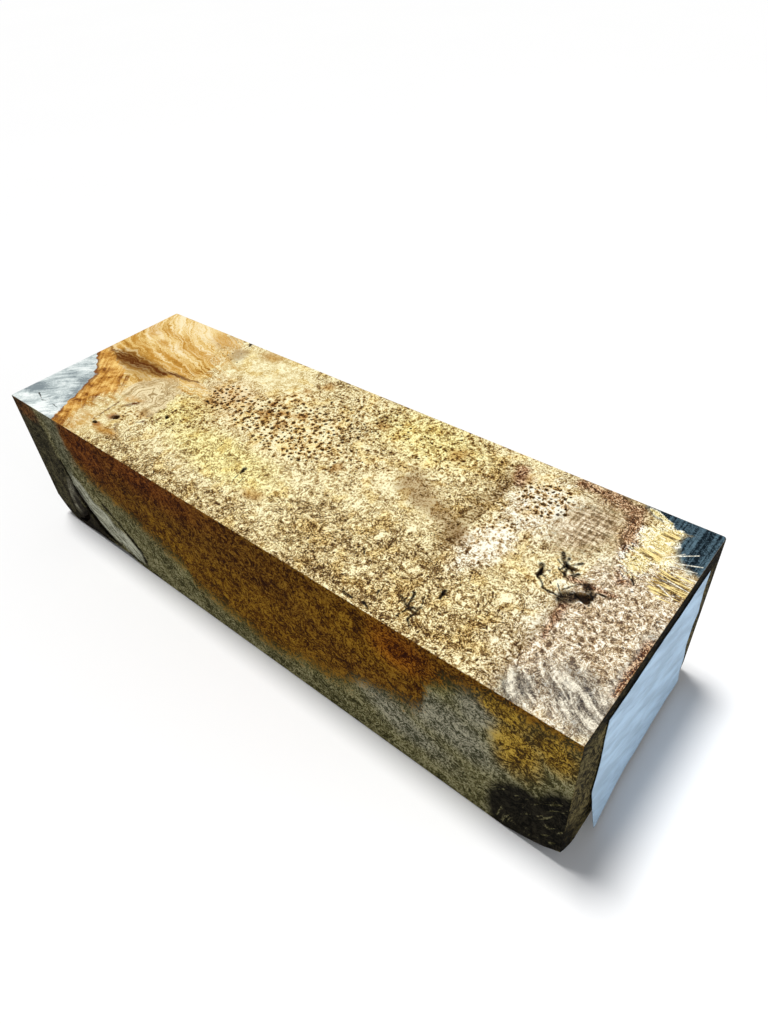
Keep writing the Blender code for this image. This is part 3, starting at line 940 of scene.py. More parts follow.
def slate_corner(face, fine):
    """The blue-grey far corner, and the pale and gold splinters that reach into it."""
    graph, wood = face.graph, face.wood
    lines = face.flow(90.0, 60.0, 1.1, 0.06)
    stain = graph.mix(graph.varied(0.38, (lines, 0.8), (fine, 0.8)), SLATE_DARK, wood.slate)
    face.cover(face.patches(SLATE, face.ragged), 1.0, stain)
    grain = face.flow(8.0, 9.0, 1.0, 0.25)
    pale = graph.ramp(graph.varied(0.62, (fine, 0.8), (grain, 0.5)), *PALE_TONES)
    torn = graph.varied(face.patches(CORNER_PALE, face.ragged), (fine, 0.9))
    face.cover(graph.remap(torn, 0.50, 0.75), 0.95, pale)
    gold = graph.ramp(graph.varied(0.42, (grain, 1.3), (fine, 0.4)), *GOLD_TONES)
    torn = graph.varied(face.patches(CORNER_GOLD, face.ragged), (grain, 0.9))
    face.cover(graph.remap(torn, 0.50, 0.75), 0.95, gold)
    spikes = face.strokes(SPIKES, 0.5, face.flat)
    face.cover(graph.product(spikes, graph.remap(fine, 0.2, 0.5, 0.4, 1.0)), 0.95, SPIKE_WHITE)


def top_material(wood, groups):
    """The sunlit figured top. Below the surface it darkens: the pores' own dark insides, deepened by painted
    shade inside the pores and voids.
    """

    def make(graph):
        face = Face(graph, groups, wood, "X", "Y")
        fleck, fine = burl_ground(face)
        bands = flowing_left(face, fine)
        amber_and_sapwood(face, bands, fine)
        stained_right(face, fleck, fine)
        slate_corner(face, fine)
        # Darker with depth below the top: partly the pores' own dark colour, partly painted shade in the
        # pores and voids
        depth = graph.math("SUBTRACT", TOP / MM, face.axes["Z"])
        face.cover(graph.remap(depth, 0.01, 0.2), 0.8, wood.brown)
        face.cover(graph.remap(depth, 0.3, 1.2), 0.95, wood.umber)
        face.cover(face.patches(BLACK_HALOS), 0.85, HALO_BROWN)
        marks = face.strokes(BLACK_MARKS, 0.5, face.ragged)
        face.cover(graph.product(marks, graph.remap(fine, 0.05, 0.35, 0.6, 1.0)), 1.0, wood.charcoal)
        height = graph.noise(face.flat, 1.7, 3.0, 0.6)
        return face.shade, 0.6, height, 0.00012

    return finished_material("figured_top", make, 0.04)


# The front, in millimetres: x to the right, y up from the top edge, so always below 0

# How far down the heartwood reaches along the front and the back: (x, height)
FRONT_HEART = (
    (-152, 6), (-116, 6), (-113, -6), (-110, -18), (-105, -26), (-89, -31), (-71, -36), (-51, -43),
    (-36, -47), (-31, -55), (-11, -57), (11, -61), (33, -56), (55, -51), (65, -45), (81, -38),
    (93, -34), (97, -22), (107, -10), (120, -6), (152, -4),
)
BACK_HEART = (
    (-152, -30), (-120, -38), (-90, -36), (-50, -50), (-10, -54), (30, -46), (60, -52), (90, -40),
    (110, -20), (125, -4), (152, 6),
)
HEART_RED = ((-95, -8, 22, 16, 0, 0.7), (-50, -4, 40, 10, 0, 0.8))
HEART_GOLD = ((10, -42, 44, 16, 0, 0.6), (68, -16, 30, 12, 0, 0.7), (-40, -36, 20, 8, -20, 0.6))
HEART_ORANGE = ((86, -10, 12, 9, 0, 0.6),)
# Tints that multiply the heartwood: (areas, share, tint)
HEART_TINTS = (
    (HEART_RED, 0.8, (0.88, 0.50, 0.80)), (HEART_GOLD, 0.7, (1.40, 1.52, 1.0)),
    (HEART_ORANGE, 0.7, (1.28, 0.80, 0.60)),
)
DUSKY_END = ((-146, -36, 20, 46, 0, 0.12),)
RED_CORNER = ((-141, -4, 9, 6, 0, 0.6),)
PALE_STREAK = ((-120, 6, -118, -20, 14.0), (-118, -18, -121, -36, 11.0))
LENS = (
    (-114, -47, 7, 14, 32, 0.22), (-102, -56, 15, 8, -28, 0.22), (-86, -62, 12, 6.5, -28, 0.25),
)
CHIP = ((-127.5, -53, 4.4, 13, -8, 0.2),)
PALE_SAP = ((106, -34, 20, 10, -14, 0.6), (84, -50, 22, 8, -20, 0.7), (115, -16, 8, 10, 0, 0.6))
YELLOW = ((131, -22, 8, 13, 6, 0.5), (126, -8, 10, 5, 0, 0.6), (142, -12, 8, 8, 0, 0.6))
BLACK_CORNER = ((138, -62, 17, 22, 0, 0.14), (146, -44, 7, 16, -12, 0.3))
BARK_PATCHES = ((-119, -67, 15, 6, 0, 0.3), (-125, -58, 4, 8, 20, 0.4))
BARK_LINES = (
    (-127, -30, -121, -46, 4.0), (-121, -46, -113, -61, 7.4), (-113, -61, -98, -70, 7.0),
    (-118, -58, -131, -71, 7.0), (-134, -71, -104, -71, 6.0), (-98, -44, -86, -50, 3.0),
    (-86, -50, -76, -60, 3.0), (-76, -60, -73, -71, 3.4), (-134, -44, -134, -66, 2.8),
    (-104, -68, -76, -71, 3.4), (-148, -66, -136, -70, 3.0), (-70, -72, -40, -73, 1.6),
)
CRACKLE = ((94, -17, 95, -34, 1.4), (95, -34, 84, -35, 1.2), (120.3, -2, 120.3, -70, 0.6))
# The darkest and lightest tone of each mark on the front
SAP_TONES = ((0.05, 0.052, 0.028), (0.52, 0.49, 0.36))
DUSK_TONES = ((0.006, 0.005, 0.002), (0.105, 0.09, 0.045))
RED_TONES = ((0.02, 0.006, 0.001), (0.26, 0.10, 0.025))
STREAK_TONES = ((0.03, 0.03, 0.011), (0.26, 0.25, 0.15))
CHIP_TONES = ((0.08, 0.07, 0.045), (0.32, 0.31, 0.23))
BLACK_TONES = ((0.0005, 0.0004, 0.0002), (0.017, 0.014, 0.009))
# Colour ramps, as (place, colour) stops
LENS_TONES = ((0.0, (0.12, 0.12, 0.075)), (0.9, (0.64, 0.64, 0.50)))
YELLOW_TONES = (
    (0.1, (0.06, 0.018, 0.001)), (0.5, (0.26, 0.13, 0.007)), (1.0, (0.64, 0.42, 0.06)),
)

# The blue-grey stain on the back, and its darkest and lightest tone
BACK_STAIN = ((146, -14, 22, 34, 10, 0.3),)
STAIN_TONES = ((0.006, 0.010, 0.013), (0.10, 0.13, 0.14))

# Each end's darkest and lightest tone, and its blackened areas, with y across and the top edge at 0
LEFT_TONES = ((0.015, 0.012, 0.006), (0.24, 0.21, 0.12))
LEFT_STAINS = ((-30, -60, 20, 12, 0, 0.5),)
RIGHT_TONES = ((0.008, 0.006, 0.002), (0.17, 0.135, 0.055))
# The right end's first and last areas are painted shade: the strip under the top edge above the label, and
# the lower near strip beside the label's lifted lower edge
RIGHT_STAINS_AND_SHADE = ((20, 0, 80, 10, 0, 0.35), (54, -20, 10, 40, 0, 0.6), (-52, -62, 14, 16, 20, 0.5))


def side_tones(face):
    """Heartwood and sapwood colours of a sawn side, with the fleck behind them."""
    graph, wood = face.graph, face.wood
    cloud = graph.noise(face.flat, 0.07, 2.0)
    mottle = graph.noise(face.grown, 0.2, 2.0)
    value = graph.varied(0.56, (face.curl(1.4), 1.0), (face.curl(0.75), 0.8), (cloud, 0.8), (mottle, 0.9))
    heart = graph.ramp(value, (0.0, wood.heart_dark), (0.48, wood.heart), (1.0, wood.heart_light))
    sap = graph.ramp(value, (0.0, wood.sap_dark), (0.48, wood.sap), (1.0, wood.sap_light))
    return heart, sap, value


def heart_over_sap(face, line):
    """Lays the heartwood above a line and the sapwood below it, interlocking along it."""
    graph = face.graph
    heart, sap, value = side_tones(face)
    gap = graph.math("SUBTRACT", face.y, graph.follow(face.x, line))
    above = graph.remap(graph.varied(gap, (value, 8.0)), -3.0, 3.0)
    face.shade = graph.mix(above, sap, heart)
    return value, graph.math("SUBTRACT", 1.0, above)


def sawn_height(face, lines, share, scale=1.3):
    """Saw lines over a fine roughness."""
    rough = face.graph.noise(face.flat, scale, 3.0, 0.6)
    return face.graph.math("MULTIPLY_ADD", lines, share, rough)


def front_material(wood, groups):
    """The near side: heartwood over sapwood, a pale lens and bark cracks at the left, stain at the right."""

    def make(graph):
        face = Face(graph, groups, wood, "X", "Z", TOP / MM)
        value, below = heart_over_sap(face, FRONT_HEART)
        for areas, share, tint in HEART_TINTS:
            face.cover(face.patches(areas), share, tint, "MULTIPLY")
        face.cover(graph.product(face.patches(PALE_SAP), below), 0.8, graph.mix(value, *SAP_TONES))
        face.cover(face.patches(DUSKY_END), 0.97, graph.mix(value, *DUSK_TONES))
        face.cover(face.patches(RED_CORNER), 0.8, graph.mix(value, *RED_TONES))
        face.cover(face.strokes(PALE_STREAK, 0.5), 0.9, graph.mix(value, *STREAK_TONES))
        grain = face.flow(42.0, 12.0, 1.8, 0.7)
        lens = graph.ramp(graph.varied(grain, (value, 0.5)), *LENS_TONES)
        face.cover(face.patches(LENS, face.ragged), 0.97, lens)
        face.cover(face.patches(CHIP, face.ragged), 0.95, graph.mix(value, *CHIP_TONES))
        yellow = graph.product(face.patches(YELLOW), graph.remap(value, 0.0, 0.6, 0.5, 1.0))
        face.cover(yellow, 0.95, graph.ramp(value, *YELLOW_TONES))
        spikes = face.flow(-60.0, 9.0, 1.5, 0.5)
        black = graph.product(face.patches(BLACK_CORNER, face.ragged), graph.remap(spikes, 1.12, 0.86))
        face.cover(black, 0.98, graph.mix(value, *BLACK_TONES))
        bark = graph.mix(value, (0.003, 0.002, 0.001), wood.bark)
        face.cover(face.patches(BARK_PATCHES, face.ragged), 0.9, bark)
        face.cover(face.strokes(BARK_LINES, 0.7), 0.95, bark)
        face.cover(face.strokes(CRACKLE, 0.8), 0.6, bark)
        inward = graph.math("SUBTRACT", face.axes["Y"], FRONT / MM)
        face.cover(graph.remap(inward, 0.15, 0.8), 1.0, bark)
        return face.shade, 0.9, sawn_height(face, face.saw(), 0.4), 0.0002

    return finished_material("front_side", make, 0.03)


def back_material(wood, groups):
    """The far side: heartwood over sapwood, with the blue-grey stain running down at the right end."""

    def make(graph):
        face = Face(graph, groups, wood, "X", "Z", TOP / MM)
        value, _ = heart_over_sap(face, BACK_HEART)
        face.cover(face.patches(BACK_STAIN), 0.9, graph.mix(value, *STAIN_TONES))
        return face.shade, 0.9, sawn_height(face, face.saw(), 0.5), 0.0002

    return finished_material("back_side", make, 0.03)


def end_material(name, wood, groups, dark, light, stains_and_shade):
    """A sawn end: close end grain, blackened in places by stains, and on the right end also by painted shade.
    """

    def make(graph):
        face = Face(graph, groups, wood, "Y", "Z", TOP / MM)
        grain = face.flow(55.0, 7.0, 1.2, 0.8)
        cloud = graph.noise(face.flat, 0.07)
        value = graph.varied(0.48, (face.curl(1.1), 1.2), (grain, 0.8), (cloud, 1.2))
        face.shade = graph.mix(value, dark, light)
        # Near-black over the stains, and over the right end's painted shade
        face.cover(face.patches(stains_and_shade), graph.remap(value, 1.1, 0.5, 0.75, 1.0), (0.004, 0.003, 0.002))
        return face.shade, 0.9, sawn_height(face, face.saw("Y"), 0.4, 1.5), 0.0002

    return finished_material(name, make, 0.03)


def underside_material(wood, groups):
    """The sawn underside: grey-green sapwood and some heartwood, crossed by saw lines."""

    def make(graph):
        face = Face(graph, groups, wood, "X", "Y")
        heart, sap, _ = side_tones(face)
        broad = graph.noise(face.flat, 0.03, 3.0, 0.55)
        face.shade = graph.mix(graph.remap(broad, 0.52, 0.64), sap, heart)
        lines = face.saw()
        face.cover(lines, 0.25, wood.sap_light)
        return face.shade, 0.9, sawn_height(face, lines, 0.8), 0.0002

    return finished_material("underside", make, 0.03)


def natural_material(wood):
    """The natural outside of the burl, where the saw missed the corners: bark and weathered sapwood."""

    def make(graph):
        place = graph.millimetres()
        broad = graph.noise(place, 0.16, 3.0, 0.6, solid=True)
        fleck = graph.remap(graph.noise(place, 0.9, 3.0, 0.6, solid=True), 0.35, 0.65)
        bark = graph.mix(fleck, wood.bark, (0.09, 0.07, 0.037))
        worn = graph.mix(fleck, (0.06, 0.055, 0.03), (0.30, 0.28, 0.19))
        shade = graph.mix(graph.remap(broad, 0.52, 0.62), bark, worn)
        height = graph.math("MULTIPLY_ADD", broad, 2.0, fleck)
        return shade, 0.9, height, 0.0005

    return finished_material("natural_outside", make, 0.03)


def paper_material(paper):
    """Plain white paper, faintly mottled, with soft slanting creases. Its colour carries painted shade:
    dimmed and tinted blue as white paper in shade under a blue sky, and darker in the creases.
    """

    def make(graph):
        place = graph.millimetres()
        slant = graph.joined(
            graph.vector("DOT_PRODUCT", place, (0.0, 0.45, 0.9), output=1),
            graph.vector("DOT_PRODUCT", place, (0.0, 0.22, -0.12), output=1),
        )
        crease = graph.remap(graph.noise(slant, 0.16, 3.0, 0.55), 0.25, 0.75)
        fibre = graph.noise(place, 2.2, 3.0, 0.7, solid=True)
        # Painted shade: the paper is darker in its creases
        dim = tuple(0.66 * part for part in paper.face)
        shade = graph.mix(graph.blend(0.25, crease, fibre), dim, tuple(paper.face))
        height = graph.math("MULTIPLY_ADD", fibre, 0.03, crease)
        return shade, 0.75, height, 0.0009

    return finished_material("plain_paper", make, 0.25)


def floor_material(stage):
    """A pale, faintly uneven floor."""

    def make(graph):
        cloud = graph.noise(graph.millimetres(), 0.004, 2.0, solid=True)
        dim = tuple(0.985 * part for part in stage.floor_colour)
        return graph.mix(cloud, dim, tuple(stage.floor_colour)), 0.9, cloud, 0.00001

    return finished_material("pale_floor", make, 0.0)


# Shapes


def start():
    """Object mode, with nothing selected."""
    if bpy.context.object and bpy.context.mode != "OBJECT":
        bpy.ops.object.mode_set(mode="OBJECT")
    bpy.ops.object.select_all(action="DESELECT")


def pick(objects, active):
    """Selects only these objects, and makes one of them active."""
    start()
    for obj in objects:
        obj.select_set(True)
    bpy.context.view_layer.objects.active = active


def newest(name):
    """The object that was just added, under its own name."""
    made = bpy.context.object
    made.name = name
    made.data.name = name
    return made


def apply_place(obj):
    """Moves the object's place, turn and scale into its mesh."""
    pick([obj], obj)
    bpy.ops.object.transform_apply(location=True, rotation=True, scale=True)


def apply_modifier(obj, kind, **settings):
    """Adds a modifier and applies it."""
    pick([obj], obj)
    modifier = obj.modifiers.new(kind.lower(), kind)
    for name, value in settings.items():
        setattr(modifier, name, value)
    bpy.ops.object.modifier_apply(modifier=modifier.name)


def carve(target, cutter, solver="EXACT"):
    """Cuts one object out of another, and removes the cutter."""
    apply_modifier(target, "BOOLEAN", operation="DIFFERENCE", solver=solver, object=cutter)
    bpy.data.objects.remove(cutter, do_unlink=True)


def wane_height(x, y):
    """Height of the natural surface above the sawn underside, 0 where the saw reached."""
    height = 0.0
    half_length, half_width = (RIGHT - LEFT) / 2, (BACK - FRONT) / 2
    for end, side, rise, along, across, fullness in WANE_CORNERS:
        from_end = abs(end * half_length - x)
        from_side = abs(side * half_width - y)
        nearness = 1.0 - from_end / along - from_side / across
        height = max(height, rise * max(0.0, nearness) ** fullness)
    from_front = max(0.0, y - FRONT)
    for middle, rise, half in EDGE_HOLLOWS:
        fade = max(0.0, 1.0 - from_front / HOLLOW_REACH) ** 1.5
        height += rise * fade * math.exp(-(((x - middle) / half) ** 2))
    spot = Vector((x, y, 0.0))
    lumps = sum(depth * noise.noise(spot / size) for depth, size in WANE_LUMPS)
    return height + lumps * min(1.0, height / WANE_FADE)


def sawn_block():
    """The rectangular blank, its far right upright edge worn round and the others barely eased."""
    start()
    centre = (WOOD_LOW + WOOD_HIGH) / 2
    bpy.ops.mesh.primitive_cube_add(size=1.0, location=centre)
    block = newest("burl_wood")
    block.scale = WOOD_HIGH - WOOD_LOW
    apply_place(block)
    for width, steps, wanted in (
        (WORN_EDGE, 4, lambda a, b: a.x > 0 and b.x > 0 and a.y > 0 and b.y > 0),
        (EASED_EDGE, 2, lambda a, b: True),
    ):
        bpy.ops.object.mode_set(mode="EDIT")
        bpy.ops.mesh.select_all(action="DESELECT")
        bpy.ops.object.mode_set(mode="OBJECT")
        mesh = block.data
        sharp = sharp_edges(mesh)
        for edge in mesh.edges:
            a, b = (mesh.vertices[i].co for i in edge.vertices)
            edge.select = edge.index in sharp and wanted(a, b)
        bpy.ops.object.mode_set(mode="EDIT")
        bpy.ops.mesh.select_mode(type="EDGE")
        bpy.ops.mesh.bevel(offset=width, segments=steps, affect="EDGES")
        bpy.ops.object.mode_set(mode="OBJECT")
    return block


def sharp_edges(mesh):
    """Edges whose two faces meet at more than 60 degrees."""
    faces = {}
    for polygon in mesh.polygons:
        for key in polygon.edge_keys:
            faces.setdefault(key, []).append(polygon.normal)
    found = set()
    for edge in mesh.edges:
        normals = faces.get(tuple(sorted(edge.vertices)), [])
        if len(normals) == 2 and normals[0].angle(normals[1]) > math.radians(60):
            found.add(edge.index)
    return found


def wane_cutter(area):
    """A lumpy sheet in the shape of the natural surface, thickened downwards."""
    x_from, x_to, y_from, y_to = area
    start()
    bpy.ops.mesh.primitive_grid_add(
        x_subdivisions=round((x_to - x_from) / WANE_STEP),
        y_subdivisions=round((y_to - y_from) / WANE_STEP),
        size=1.0,
        location=((x_from + x_to) / 2, (y_from + y_to) / 2, 0.0),
    )
    cutter = newest("wane_cutter")
    cutter.scale = (x_to - x_from, y_to - y_from, 1.0)
    apply_place(cutter)
    for vertex in cutter.data.vertices:
        vertex.co.z = wane_height(vertex.co.x, vertex.co.y) - WANE_SUNK
    bpy.ops.object.mode_set(mode="EDIT")
    bpy.ops.mesh.select_all(action="SELECT")
    bpy.ops.mesh.extrude_region_move(TRANSFORM_OT_translate={"value": (0.0, 0.0, -WANE_THICK)})
    bpy.ops.mesh.select_all(action="SELECT")
    bpy.ops.mesh.normals_make_consistent(inside=False)
    bpy.ops.object.mode_set(mode="OBJECT")
    return cutter


def crack_cutter(stations, draw):
    """A round tube of uneven thickness along the crack, pressed deeper into the wood than it is wide."""
    curve = bpy.data.curves.new("crack", "CURVE")
    curve.dimensions = "3D"
    curve.bevel_depth = MM
    curve.bevel_resolution = 2
    curve.use_fill_caps = True
    spline = curve.splines.new("POLY")
    points = []
    for (x, down, half), (to_x, to_down, to_half) in zip(stations, stations[1:]):
        for step in range(CRACK_STEPS):
            share = step / CRACK_STEPS
            points.append(
                (
                    x + (to_x - x) * share + draw.uniform(-CRACK_JITTER, CRACK_JITTER),
                    down + (to_down - down) * share + draw.uniform(-CRACK_JITTER, CRACK_JITTER),
                    (half + (to_half - half) * share) * draw.uniform(0.78, 1.22),
                )
            )
    points.append(stations[-1])
    spline.points.add(len(points) - 1)
    for point, (x, down, half) in zip(spline.points, points):
        point.co = (x * MM, 0.0, TOP - down * MM, 1.0)
        point.radius = half
    cutter = bpy.data.objects.new("crack_cutter", curve)
    bpy.context.scene.collection.objects.link(cutter)
    pick([cutter], cutter)
    bpy.ops.object.convert(target="MESH")
    cutter = bpy.context.object
    cutter.scale = (1.0, CRACK_DEEPER, 1.0)
    cutter.location = (0.0, FRONT, 0.0)
    apply_place(cutter)
    return cutter


def pit_pattern(sides):
    """One open pore: a shallow dished rim, then a wall down to a narrower floor. Unit radius and depth."""
    start()
    bpy.ops.mesh.primitive_circle_add(vertices=sides, radius=PIT_RIM, fill_type="NGON")
    pit = newest("pit_pattern")
    pit.location.z = 0.02
    apply_place(pit)
    bpy.ops.object.mode_set(mode="EDIT")
    bpy.ops.mesh.select_all(action="SELECT")
    for shrink, drop in PIT_RINGS:
        bpy.ops.mesh.extrude_region_move(TRANSFORM_OT_translate={"value": (0.0, 0.0, drop)})
        bpy.ops.transform.resize(value=(shrink, shrink, 1.0))
    bpy.ops.mesh.select_all(action="SELECT")
    bpy.ops.mesh.normals_make_consistent(inside=False)
    bpy.ops.object.mode_set(mode="OBJECT")
    return pit


def pore_places(draw):
    """Pores scattered in their clusters, clear of each other and of the voids: (x, y, radius)."""
    taken = [(x, y, max(long, wide) / 2 + 0.5) for x, y, long, wide, _ in TOP_VOIDS]
    pores = []
    for x_mid, y_mid, long, wide, turn, number, radius in PORE_CLUSTERS:
        angle = math.radians(turn)
        placed = 0
        for _ in range(80 * number):
            if placed == number:
                break
            bearing = draw.uniform(0.0, 2.0 * math.pi)
            reach = draw.random() ** 0.6
            along = long * reach * math.cos(bearing)
            across = wide * reach * math.sin(bearing)
            x = x_mid + along * math.cos(angle) - across * math.sin(angle)
            y = y_mid + along * math.sin(angle) + across * math.cos(angle)
            size = radius * draw.uniform(*PORE_SIZES)
            clear = all(math.hypot(x - a, y - b) > PORE_CLEARANCE * (size + c) for a, b, c in taken)
            clump = noise.noise(Vector((x, y, 0.0)) * PORE_CLUMP_SCALE)
            if clear and clump > PORE_CLUMP_FLOOR and abs(y) < PORE_LIMIT:
                taken.append((x, y, size))
                pores.append((x, y, size))
                placed += 1
    return pores


def pit_cutter(draw):
    """Every pore and void of the top, each a jittered copy of one pit, joined."""
    pore, void = pit_pattern(PORE_SIDES), pit_pattern(VOID_SIDES)
    places = [
        (pore, x, y, size, size * draw.uniform(0.6, 1.0), PORE_DEPTH, draw.uniform(0.0, math.pi))
        for x, y, size in pore_places(draw)
    ]
    places += [(void, x, y, long / 2, wide / 2, depth, 0.0) for x, y, long, wide, depth in TOP_VOIDS]
    copies = []
    for pattern, x, y, half_x, half_y, depth, spin in places:
        pit = pattern.copy()
        pit.data = pattern.data.copy()
        bpy.context.scene.collection.objects.link(pit)
        turn, middle = Matrix.Rotation(spin, 4, "Z"), Vector((x, y, 0.0))
        for vertex in pit.data.vertices:
            rim = Vector((vertex.co.x, vertex.co.y, 0.0)).normalized()
            torn = noise.noise(rim * 1.6 + middle) + 0.6 * noise.noise(rim * 4.0 - middle)
            uneven = 1.0 + VOID_RAGGED * torn if pattern is void else 1.0 + draw.uniform(-0.20, 0.16)
            spot = turn @ Vector((vertex.co.x * half_x * uneven, vertex.co.y * half_y * uneven, 0.0))
            low = vertex.co.z if vertex.co.z > -0.07 else vertex.co.z * depth
            vertex.co = Vector(((x + spot.x) * MM, (y + spot.y) * MM, TOP + low * MM))
        copies.append(pit)
    for pattern in (pore, void):
        bpy.data.objects.remove(pattern, do_unlink=True)
    pick(copies, copies[0])
    bpy.ops.object.join()
    return newest("pit_cutter")


def face_slot(centre, normal):
    """Which material a face takes, by where it lies."""
    close = 0.00025
    if centre.z > TOP - 0.0035 and FRONT + close < centre.y < BACK - close and normal.z > -0.2:
        if LEFT + close < centre.x < RIGHT - close:
            return "top"
    if centre.z < close and normal.z < -0.9:
        return "underside"
    if centre.y < FRONT + close:
        return "front"
    if centre.y > BACK - close:
        return "back"
    if centre.x < LEFT + close:
        return "left"
    if centre.x > RIGHT - close:
        return "right"
    if centre.x > 0.1 and centre.y > 0.04 and abs(normal.z) < 0.1:
        return "right"
    if centre.z > TOP - close:
        return "top"
    in_crack = centre.y < FRONT + 0.008 and centre.z > wane_height(centre.x, centre.y) + 0.0002
    return "front" if in_crack else "natural"


def paint_faces(block, materials):
    """Gives each face the material of the side that it lies on."""
    slots = list(materials)
    block.data.materials.clear()
    for name in slots:
        block.data.materials.append(materials[name])
    for polygon in block.data.polygons:
        polygon.material_index = slots.index(face_slot(polygon.center, polygon.normal))


def shape_wood():
    """The block with its pores, voids, cracks and wane."""
    draw = random.Random(SEED)
    block = sawn_block()
    # The manifold solver is quick with hundreds of pits
    carve(block, pit_cutter(draw), "MANIFOLD")
    for stations in CRACKS:
        carve(block, crack_cutter(stations, draw))
    for area in WANE_AREAS:
        carve(block, wane_cutter(area))
    return block


def build_wood(wood):
    """The wood as one piece, each side in its own material."""
    block, groups = shape_wood(), Groups()
    materials = {
        "top": top_material(wood, groups),
        "front": front_material(wood, groups),
        "back": back_material(wood, groups),
        "left": end_material("left_end", wood, groups, *LEFT_TONES, LEFT_STAINS),
        "right": end_material("right_end", wood, groups, *RIGHT_TONES, RIGHT_STAINS_AND_SHADE),
        "underside": underside_material(wood, groups),
        "natural": natural_material(wood),
    }
    paint_faces(block, materials)
    pick([block], block)
    bpy.ops.object.shade_smooth_by_angle(angle=math.radians(35))
    for polygon in block.data.polygons:
        if max(abs(part) for part in polygon.normal) > 0.9999:
            polygon.use_smooth = False
    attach(block, "root")
    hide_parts("burl_block")
    return block


def label_lift(paper, across, fall):
    """How far the paper's back stands off the end face, for shares across and down the label."""
    bend = max(0.0, (fall - 0.65) / 0.35)
    share = 0.28 + 0.12 * (1.0 - across) + 0.60 * (1.0 - across) ** 4
    lip = 0.5 * max(0.0, (fall - 0.9) / 0.1) ** 2
    return PAPER_STUCK + paper.lift * share * (0.85 * bend**1.7 + 0.3 * lip)


def paper_sides(fall):
    """Where the paper's near and far edges lie, a share of the way down it. Both are cut unevenly."""
    for (above, near, far), (below, next_near, next_far) in zip(PAPER_SIDES, PAPER_SIDES[1:]):
        if fall <= below:
            share = (fall - above) / (below - above)
            share = share * share * (3.0 - 2.0 * share)
            return (near + (next_near - near) * share) * MM, (far + (next_far - far) * share) * MM
    raise ValueError("fall runs from 0 to 1")


def build_label(paper):
    """Thin paper on the right end, its lower edge come away and curling out."""
    start()
    bpy.ops.mesh.primitive_grid_add(x_subdivisions=80, y_subdivisions=72, size=1.0)
    label = newest("paper_sheet")
    drop = PAPER_HIGH.z - PAPER_LOW.z - PAPER_SHORT
    for vertex in label.data.vertices:
        across, fall = vertex.co.x + 0.5, 0.5 - vertex.co.y
        near, far = paper_sides(fall)
        top_wave = 0.0005 * math.sin(7.0 * across) ** 2 + 0.0002 * math.sin(31.0 * across) ** 2
        y = near + (far - near) * across
        z = PAPER_HIGH.z - PAPER_TOP_GAP - fall * drop - top_wave * (1.0 - fall)
        spot = Vector((y * 60.0 + z * 45.0, z * 26.0 - y * 14.0, 0.0))
        crease = noise.noise(spot) + 0.5 * noise.noise(spot * 2.3)
        free = min(1.0, 0.25 + 2.0 * max(0.0, fall - 0.3))
        stand = label_lift(paper, across, fall) + paper.wrinkle * (1.0 + crease) * free
        stand = min(stand, PAPER_HIGH.x - RIGHT - paper.thickness)
        vertex.co = Vector((RIGHT + stand, y, z))
    pick([label], label)
    bpy.ops.object.mode_set(mode="EDIT")
    bpy.ops.mesh.select_all(action="SELECT")
    bpy.ops.mesh.normals_make_consistent(inside=False)
    bpy.ops.object.mode_set(mode="OBJECT")
    if label.data.polygons[0].normal.x < 0:
        label.data.flip_normals()
    apply_modifier(label, "SOLIDIFY", thickness=paper.thickness, offset=1.0)
    label.data.materials.append(paper_material(paper))
    pick([label], label)
    bpy.ops.object.shade_smooth_by_angle(angle=math.radians(50))
    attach(label, "root")
    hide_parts("paper_label")
    return label


def build_stage(stage):
    """Pale floor, even light, one soft sun, a weak fill on the label end, and the camera."""
    start()
    bpy.ops.mesh.primitive_plane_add(size=FLOOR_SIZE, location=(0.0, 0.0, 0.0))
    floor = newest("studio_floor")
    floor.data.materials.append(floor_material(stage))

    world = bpy.data.worlds.new("even_light")
    world.use_nodes = True
    sky = world.node_tree.nodes["Background"]
    sky.inputs["Color"].default_value = (1.0, 1.0, 1.0, 1.0)
    sky.inputs["Strength"].default_value = stage.ambient
    bpy.context.scene.world = world

    key = bpy.data.lights.new("key_light", "SUN")
    key.energy = stage.key_strength
    key.angle = stage.key_spread
    key.color = KEY_COLOUR
    key_lamp = bpy.data.objects.new("key_light", key)
    key_lamp.rotation_euler = Vector(KEY_TOWARDS).to_track_quat("Z", "Y").to_euler()
    bpy.context.scene.collection.objects.link(key_lamp)

    fill = bpy.data.lights.new("fill_light", "AREA")
    fill.shape = "RECTANGLE"
    fill.size, fill.size_y = FILL_SIZE
    fill.energy = stage.fill_power
    fill.color = FILL_COLOUR
    fill_lamp = bpy.data.objects.new("fill_light", fill)
    fill_lamp.location = FILL_AT
    aim = fill_lamp.location - Vector((RIGHT, 0.0, 0.03))
    fill_lamp.rotation_euler = aim.to_track_quat("Z", "Y").to_euler()
    bpy.context.scene.collection.objects.link(fill_lamp)

    view = bpy.data.cameras.new("view")
    view.sensor_fit = "VERTICAL"
    view.sensor_height = 36.0
    view.lens = stage.lens
    view.clip_start = 0.01
    camera = bpy.data.objects.new("view", view)
    eye, aim = Vector(stage.camera_at), Vector(stage.camera_to)
    look = (aim - eye).to_track_quat("-Z", "Y").to_matrix().to_4x4()
    camera.matrix_world = Matrix.Translation(eye) @ look @ Matrix.Rotation(stage.roll, 4, "Z")
    bpy.context.scene.collection.objects.link(camera)
    bpy.context.scene.camera = camera

    bpy.context.scene.view_settings.view_transform = "Standard"


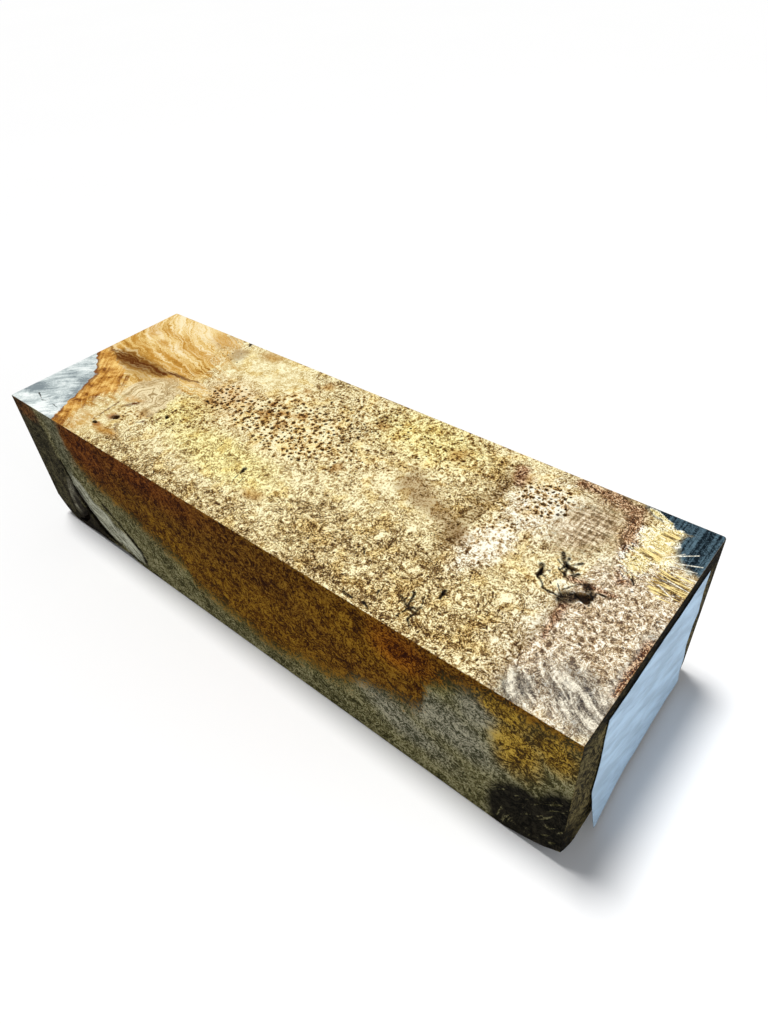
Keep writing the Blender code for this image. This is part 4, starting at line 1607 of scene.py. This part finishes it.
# Operators, panel and registration


class BLANK_OT_wood(bpy.types.Operator):
    """Model the sawn block of burl with its pores, cracks and wane"""

    bl_idname = "blank.wood"
    bl_label = "Burl Block"

    def execute(self, context):
        build_wood(context.scene.blank_wood)
        return {"FINISHED"}


class BLANK_OT_label(bpy.types.Operator):
    """Stick the paper label on the right end"""

    bl_idname = "blank.label"
    bl_label = "Paper Label"

    def execute(self, context):
        build_label(context.scene.blank_paper)
        return {"FINISHED"}


class BLANK_OT_stage(bpy.types.Operator):
    """Set up the plain floor, soft light and camera"""

    bl_idname = "blank.stage"
    bl_label = "Stage"

    def execute(self, context):
        build_stage(context.scene.blank_stage)
        return {"FINISHED"}


class BLANK_PT_panel(bpy.types.Panel):
    """Sidebar panel with the blank's sizes, colours and operators"""

    bl_idname = "BLANK_PT_panel"
    bl_label = "Burl Blank"
    bl_space_type = "VIEW_3D"
    bl_region_type = "UI"
    bl_category = "Burl Blank"

    def draw(self, context):
        for operator, settings in (
            ("blank.wood", context.scene.blank_wood),
            ("blank.label", context.scene.blank_paper),
            ("blank.stage", context.scene.blank_stage),
        ):
            box = self.layout.box()
            for name in settings.bl_rna.properties.keys():
                if name not in ("rna_type", "name"):
                    box.prop(settings, name)
            box.operator(operator)


CLASSES = (
    BlankWood, BlankPaper, BlankStage, BLANK_OT_wood, BLANK_OT_label, BLANK_OT_stage, BLANK_PT_panel,
)


def register():
    for cls in CLASSES:
        bpy.utils.register_class(cls)
    bpy.types.Scene.blank_wood = bpy.props.PointerProperty(type=BlankWood)
    bpy.types.Scene.blank_paper = bpy.props.PointerProperty(type=BlankPaper)
    bpy.types.Scene.blank_stage = bpy.props.PointerProperty(type=BlankStage)


def unregister():
    for name in ("blank_wood", "blank_paper", "blank_stage"):
        delattr(bpy.types.Scene, name)
    for cls in reversed(CLASSES):
        bpy.utils.unregister_class(cls)


def main():
    register()
    bpy.ops.blank.stage()
    bpy.ops.blank.wood()
    bpy.ops.blank.label()


if __name__ == "__main__":
    main()
